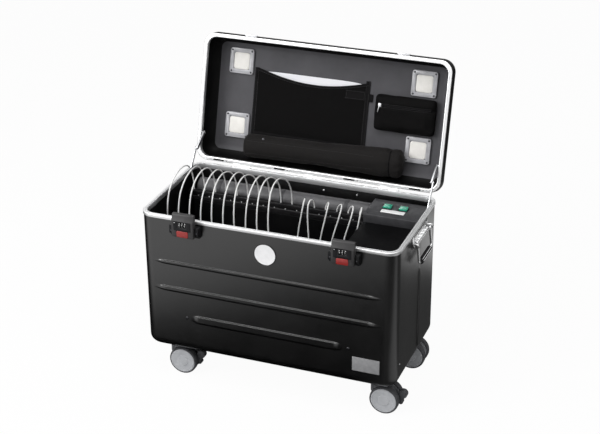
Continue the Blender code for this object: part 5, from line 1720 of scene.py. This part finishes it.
def makeZip(face):
    # Tape, teeth and two seams, laid on the pouch's face, and the slider with its pull
    middle = pouch["zipAlong"]
    run = [blendBetween(pouch["zipLeft"], pouch["zipRight"], t) for t in shares(40)]
    line = [onLid(x, middle, face(x, middle) - pouch["tapeLift"]) for x in run]
    addPiece("pouchZipTape", sweptStrip(line, lidIn, *pouch["zipTape"]), "tapeNylon", "lid", (),
             sharp=60)
    teeth = [p + lidIn * pouch["toothLift"] for p in line]
    stitches("pouchZipTeeth", [teeth], "darkSteel", pouch["teeth"])
    seams = []
    for along in (middle - pouch["seamOut"], middle + pouch["seamOut"]):
        seams.append([onLid(x, along, face(x, along) - pouch["seamLift"]) for x in run])
    stitches("pouchStitches", seams, "lockGrey", pouch["stitch"])
    start = line[1] + lidIn * zipPull["lift"]
    outline = roundedBox(*zipPull["half"], zipPull["round"], 4)
    slider = drawnOut(outline, "Z", zipPull["low"], zipPull["high"], zipPull["ease"])
    turn = lidPlace.to_3x3().to_4x4() @ Matrix.Rotation(pi, 4, "X")
    hang = lidUp * -zipPull["length"] + Vector((-zipPull["aside"], 0, 0))
    drop = [start + lidIn * (zipPull["lift"] + zipPull["bow"] * sin(pi * t)) + hang * t
            for t in zipPull["shares"]]
    parts = [moved(slider, Matrix.Translation(start) @ turn), sweptTube(drop, zipPull["radii"], 10)]
    addPiece("pouchZipPull", joined(parts), "screwSteel", "lid", ())


probe = {"from": .060, "reach": .12, "missed": .02}


def surfaceDepths(obj):
    # The lid depth of a bag's outer face under a point
    graph = bpy.context.evaluated_depsgraph_get()
    shaped = obj.evaluated_get(graph)

    def face(x, along):
        start = onLid(x, along, pocketFloor - probe["from"])
        hit, place, _, _ = shaped.ray_cast(start, -lidIn, distance=probe["reach"])
        return (lidInverse @ place).z if hit else pocketFloor - probe["missed"]

    return face


makePouch()

roll = {"left": -.213, "right": .224, "along": .0548, "askew": .018, "halfWide": (.0305, .0405),
        "halfThick": .0262, "margin": .99, "columns": 120, "sides": 56, "edge": radians(232), "step": .045,
        "leftEnd": .003, "rightEnd": .004, "leftRound": (.022, .72), "rightRound": (.030, .55), "neck": .925,
        "neckHalf": .016, "neckDeep": .08, "tailThin": .04, "waves": ((.020, 9.4, .6), (.012, 23, 0)),
        "foldRun": .05, "folds": (.055, 10, 1.5), "lumps": (.018, 16, 2.2),
        "creases": ((.0011, 14, 60), (.0004, 60, 90)), "deepest": .0545,
        "seams": {"Near": -.0175, "Far": .0155}, "seamEnds": (.016, .080), "seamLift": .0004,
        "snap": (-.155, .0745), "cordRadius": .0017, "cordReach": .80, "cordLift": .0008,
        "cordTurns": (-25, 205), "cordSteps": 32,
        "stitch": {"Pitch": .0040, "Length": .0026, "Thick": .0006, "Wide": .0008},
        "soft": {"voxel": .0046, "pressure": 2.5, "stiff": 12, "bend": .5, "frames": 14, "cap": .0035}}


def rollAlong(x):
    return roll["along"] + roll["askew"] * x


def rollHalf(x):
    return blendBetween(*roll["halfWide"], (x - roll["left"]) / (roll["right"] - roll["left"]))


def rollShare(u):
    # Thickness along the roll: a blunt left end, and a drawn neck with a small tail at the right
    ends = 1.0
    for reach, blunt, at in ((*roll["leftRound"], u), (*roll["rightRound"], 1 - u)):
        ends *= blunt + (1 - blunt) * (1 - (1 - min(1.0, at / reach)) ** 2) ** .5
    neck = (u - roll["neck"]) / roll["neckHalf"]
    drawn = 1 - roll["neckDeep"] / (1 + neck ** 4) - roll["tailThin"] * smoothStep(neck / 2)
    return ends * drawn * sum((size * sin(rate * u + start) for size, rate, start in roll["waves"]), 1.0)


def rollBlank():
    # Wound cloth: the outer edge makes a step, and the neck gathers it into folds
    deep, count, skew = roll["folds"]
    size, rate, girth = roll["lumps"]
    margin, thick = roll["margin"], roll["halfThick"]
    rings = []
    for i in range(roll["columns"] + 1):
        u = i / roll["columns"]
        x = blendBetween(roll["left"] + roll["leftEnd"], roll["right"] - roll["rightEnd"], u)
        share = rollShare(u)
        gather = smoothStep((u - roll["neck"] + roll["foldRun"]) / roll["foldRun"])
        ring = []
        for k in range(roll["sides"]):
            a = 2 * pi * k / roll["sides"]
            wound = ((a - roll["edge"]) % (2 * pi)) / (2 * pi)
            r = share * (1 - roll["step"] + roll["step"] * wound)
            folds = deep * gather * cos(count * a + skew * sin(a))
            r *= 1 + folds + size * noise.noise(Vector((u * rate, cos(a) * girth, sin(a) * girth)))
            ring.append((x, -rollAlong(x) + rollHalf(x) * margin * r * cos(a),
                         pocketFloor - thick + thick * margin * r * sin(a)))
        rings.append(ring)
    return moved(ringSkin(rings), lidPlace)


def makeRoll():
    bm = simulated(rollBlank(), "rollBlank", roll["soft"])
    keptInside(bm, pocketFloor - roll["deepest"], pocketFloor - floorGap)
    for vert in bm.verts:
        place = lidInverse @ vert.co
        crease = sum(size * noise.noise(Vector((place.x * along, place.y * across, place.z * across)))
                     for size, along, across in roll["creases"])
        outward = Vector((0, place.y + rollAlong(place.x),
                          place.z - pocketFloor + roll["halfThick"])).normalized()
        place += outward * crease
        place.z = min(place.z, pocketFloor - floorGap)
        vert.co = lidPlace @ place
    obj = addPiece("rolledBag", bm, "rollNylon", "lid", ["rolled_bag"], sharp=180)
    subdivided(obj)
    face = surfaceDepths(obj)
    first, last = roll["left"] + roll["seamEnds"][0], roll["right"] - roll["seamEnds"][1]
    run = [blendBetween(first, last, t) for t in shares(60)]
    for name, beside in roll["seams"].items():
        spots = [(x, rollAlong(x) + beside) for x in run]
        line = [onLid(*spot, face(*spot) - roll["seamLift"]) for spot in spots]
        stitches("rollStitches" + name, [line], "lockGrey", roll["stitch"])
    fasteners("rollSnaps", [(onLid(*roll["snap"], face(*roll["snap"])), lidIn)], "lid")
    x = blendBetween(roll["left"] + roll["leftEnd"], roll["right"] - roll["rightEnd"], roll["neck"])
    cord = []
    for t in shares(roll["cordSteps"]):
        a = radians(blendBetween(*roll["cordTurns"], t))
        along = rollAlong(x) + rollHalf(x) * roll["cordReach"] * cos(a)
        cord.append(onLid(x, along, face(x, along) - roll["cordLift"]))
    addPiece("rollDrawcord", sweptTube(cord, roll["cordRadius"], 10), "tapeNylon", "lid", (),
             sharp=180)


makeRoll()
print("padded bags")


# Floor and light

# Painted reflections: the left, back, corner and side patches are floor glow that only glossy rays see
studio = {"floor": ((.84, .84, .84), (.86, .86, .86)), "world": .30, "dimRight": .75, "brightLeft": .15,
          "floorSize": 7.0, "cameraWhite": .96, "leftPaintedReflection": (.82, 1.36), "slant": 1.1,
          "backPaintedReflection": ((.55, .68), (1.05, .90), (.20, .28)), "leftNear": (.30, .55),
          "cornerPaintedReflection": ((.02, .10), (.50, .40), (.40, .48), .5), "sidePaintedReflection": .10, "lowSky": (.40, .12),
          "backSky": (.0, .4), "backDim": .92}


def floorGlow(graph, place):
    # Painted reflection for glossy rays: the floor glows on the left, behind on the right and by the near
    # corner
    spot = graph.node("ShaderNodeSeparateXYZ", None, {0: place})
    back = spot.output("Y")
    toFront = 0.0 - back
    near, far, right = studio["backPaintedReflection"]
    rightReflection = graph.ramp(back, *near) * graph.ramp(back, *far) * graph.ramp(spot, *right)
    rightReflection = rightReflection + studio["sidePaintedReflection"] * graph.ramp(spot, *right)
    nearest, farthest, beside, strength = studio["cornerPaintedReflection"]
    corner = graph.ramp(toFront, *nearest) * graph.ramp(toFront, *farthest) * graph.ramp(spot, *beside)
    left = graph.ramp(toFront - spot * studio["slant"], *studio["leftPaintedReflection"])
    left = left * graph.ramp(toFront, *studio["leftNear"])
    return graph.larger(left, rightReflection + corner * strength)


def makeFloor():
    material = bpy.data.materials.new("paleFloor")
    material.use_nodes = True
    graph = Graph(material.node_tree)
    shader = material.node_tree.nodes["Principled BSDF"]
    place = graph.objectPlace()
    soft = graph.grain(place, 3.0, 2.0)
    graph.plug(graph.mix(soft, *studio["floor"]), shader.inputs["Base Color"])
    graph.plug(0.9, shader.inputs["Roughness"])
    white = graph.node("ShaderNodeEmission", None, {"Color": (1, 1, 1), "Strength": 1.0})
    path = graph.node("ShaderNodeLightPath")
    glow = floorGlow(graph, place)
    # Painted reflection: a glow on the floor that only glossy rays see
    mirrored = graph.node("ShaderNodeEmission", None, {"Color": (1, 1, 1), "Strength": glow})
    principled = Wire(graph, shader.outputs[0])
    lit = graph.node("ShaderNodeMixShader", None,
                     {0: path.output("Is Glossy Ray"), 1: principled, 2: mirrored})
    mixed = graph.node("ShaderNodeMixShader", None, {
        0: path.output("Is Camera Ray") * studio["cameraWhite"], 1: lit, 2: white})
    graph.plug(mixed, material.node_tree.nodes["Material Output"].inputs["Surface"])
    half = studio["floorSize"]
    mesh = bpy.data.meshes.new("floor")
    mesh.from_pydata([(-half, -half, 0), (half, -half, 0), (half, half, 0), (-half, half, 0)], [],
                     [(0, 1, 2, 3)])
    mesh.materials.append(material)
    obj = bpy.data.objects.new("floor", mesh)
    bpy.context.scene.collection.objects.link(obj)


def makeWorld():
    # White to the camera; metal sees a painted reflection, a sweep that falls away to dim on the right and
    # low behind
    world = bpy.data.worlds.new("studio")
    bpy.context.scene.world = world
    world.use_nodes = True
    graph = Graph(world.node_tree)
    world.node_tree.nodes.clear()
    path = graph.node("ShaderNodeLightPath")
    way = graph.node("ShaderNodeSeparateXYZ", None, {0: graph.node("ShaderNodeNewGeometry", out="Position")})
    low = graph.ramp(way.output("Z"), *studio["lowSky"]) * graph.ramp(way.output("Y"), *studio["backSky"])
    sweep = graph.ramp(way, studio["dimRight"], studio["brightLeft"]) * (1.0 - studio["backDim"] * low)
    # Painted reflection: only glossy and transmission rays see the sweep
    mirrored = (path.output("Is Glossy Ray") + path.output("Is Transmission Ray")) * sweep
    seen = graph.larger(path.output("Is Camera Ray"), mirrored)
    light = graph.node("ShaderNodeBackground", None, {"Color": (1, 1, 1), "Strength": studio["world"]})
    white = graph.node("ShaderNodeBackground", None, {"Color": (1, 1, 1), "Strength": 1.0})
    both = graph.node("ShaderNodeMixShader", None, {0: seen, 1: light, 2: white})
    graph.node("ShaderNodeOutputWorld", None, {"Surface": both})


lamps = (
    {"name": "keyLight", "place": (-1.8, -2.1, 2.1), "aim": (0, 0, .5), "size": (1.5, 1.5), "power": 62},
    {"name": "topLight", "place": (.2, -.9, 3.0), "aim": (0, 0, .4), "size": (2.2, 1.6), "power": 34},
    {"name": "sideLight", "place": (2.6, -.4, 1.6), "aim": (0, 0, .4), "size": (1.0, 1.6), "power": 8},
)


def makeLamps():
    for lamp in lamps:
        data = bpy.data.lights.new(lamp["name"], "AREA")
        data.shape = "RECTANGLE"
        data.size, data.size_y = lamp["size"]
        data.energy = lamp["power"]
        obj = bpy.data.objects.new(lamp["name"], data)
        way = Vector(lamp["aim"]) - Vector(lamp["place"])
        turn = way.to_track_quat("-Z", "Y").to_matrix().to_4x4()
        obj.matrix_world = Matrix.Translation(lamp["place"]) @ turn
        bpy.context.scene.collection.objects.link(obj)


makeFloor()
makeWorld()
makeLamps()
bpy.context.scene.view_settings.view_transform = "Standard"
print("stage and light")
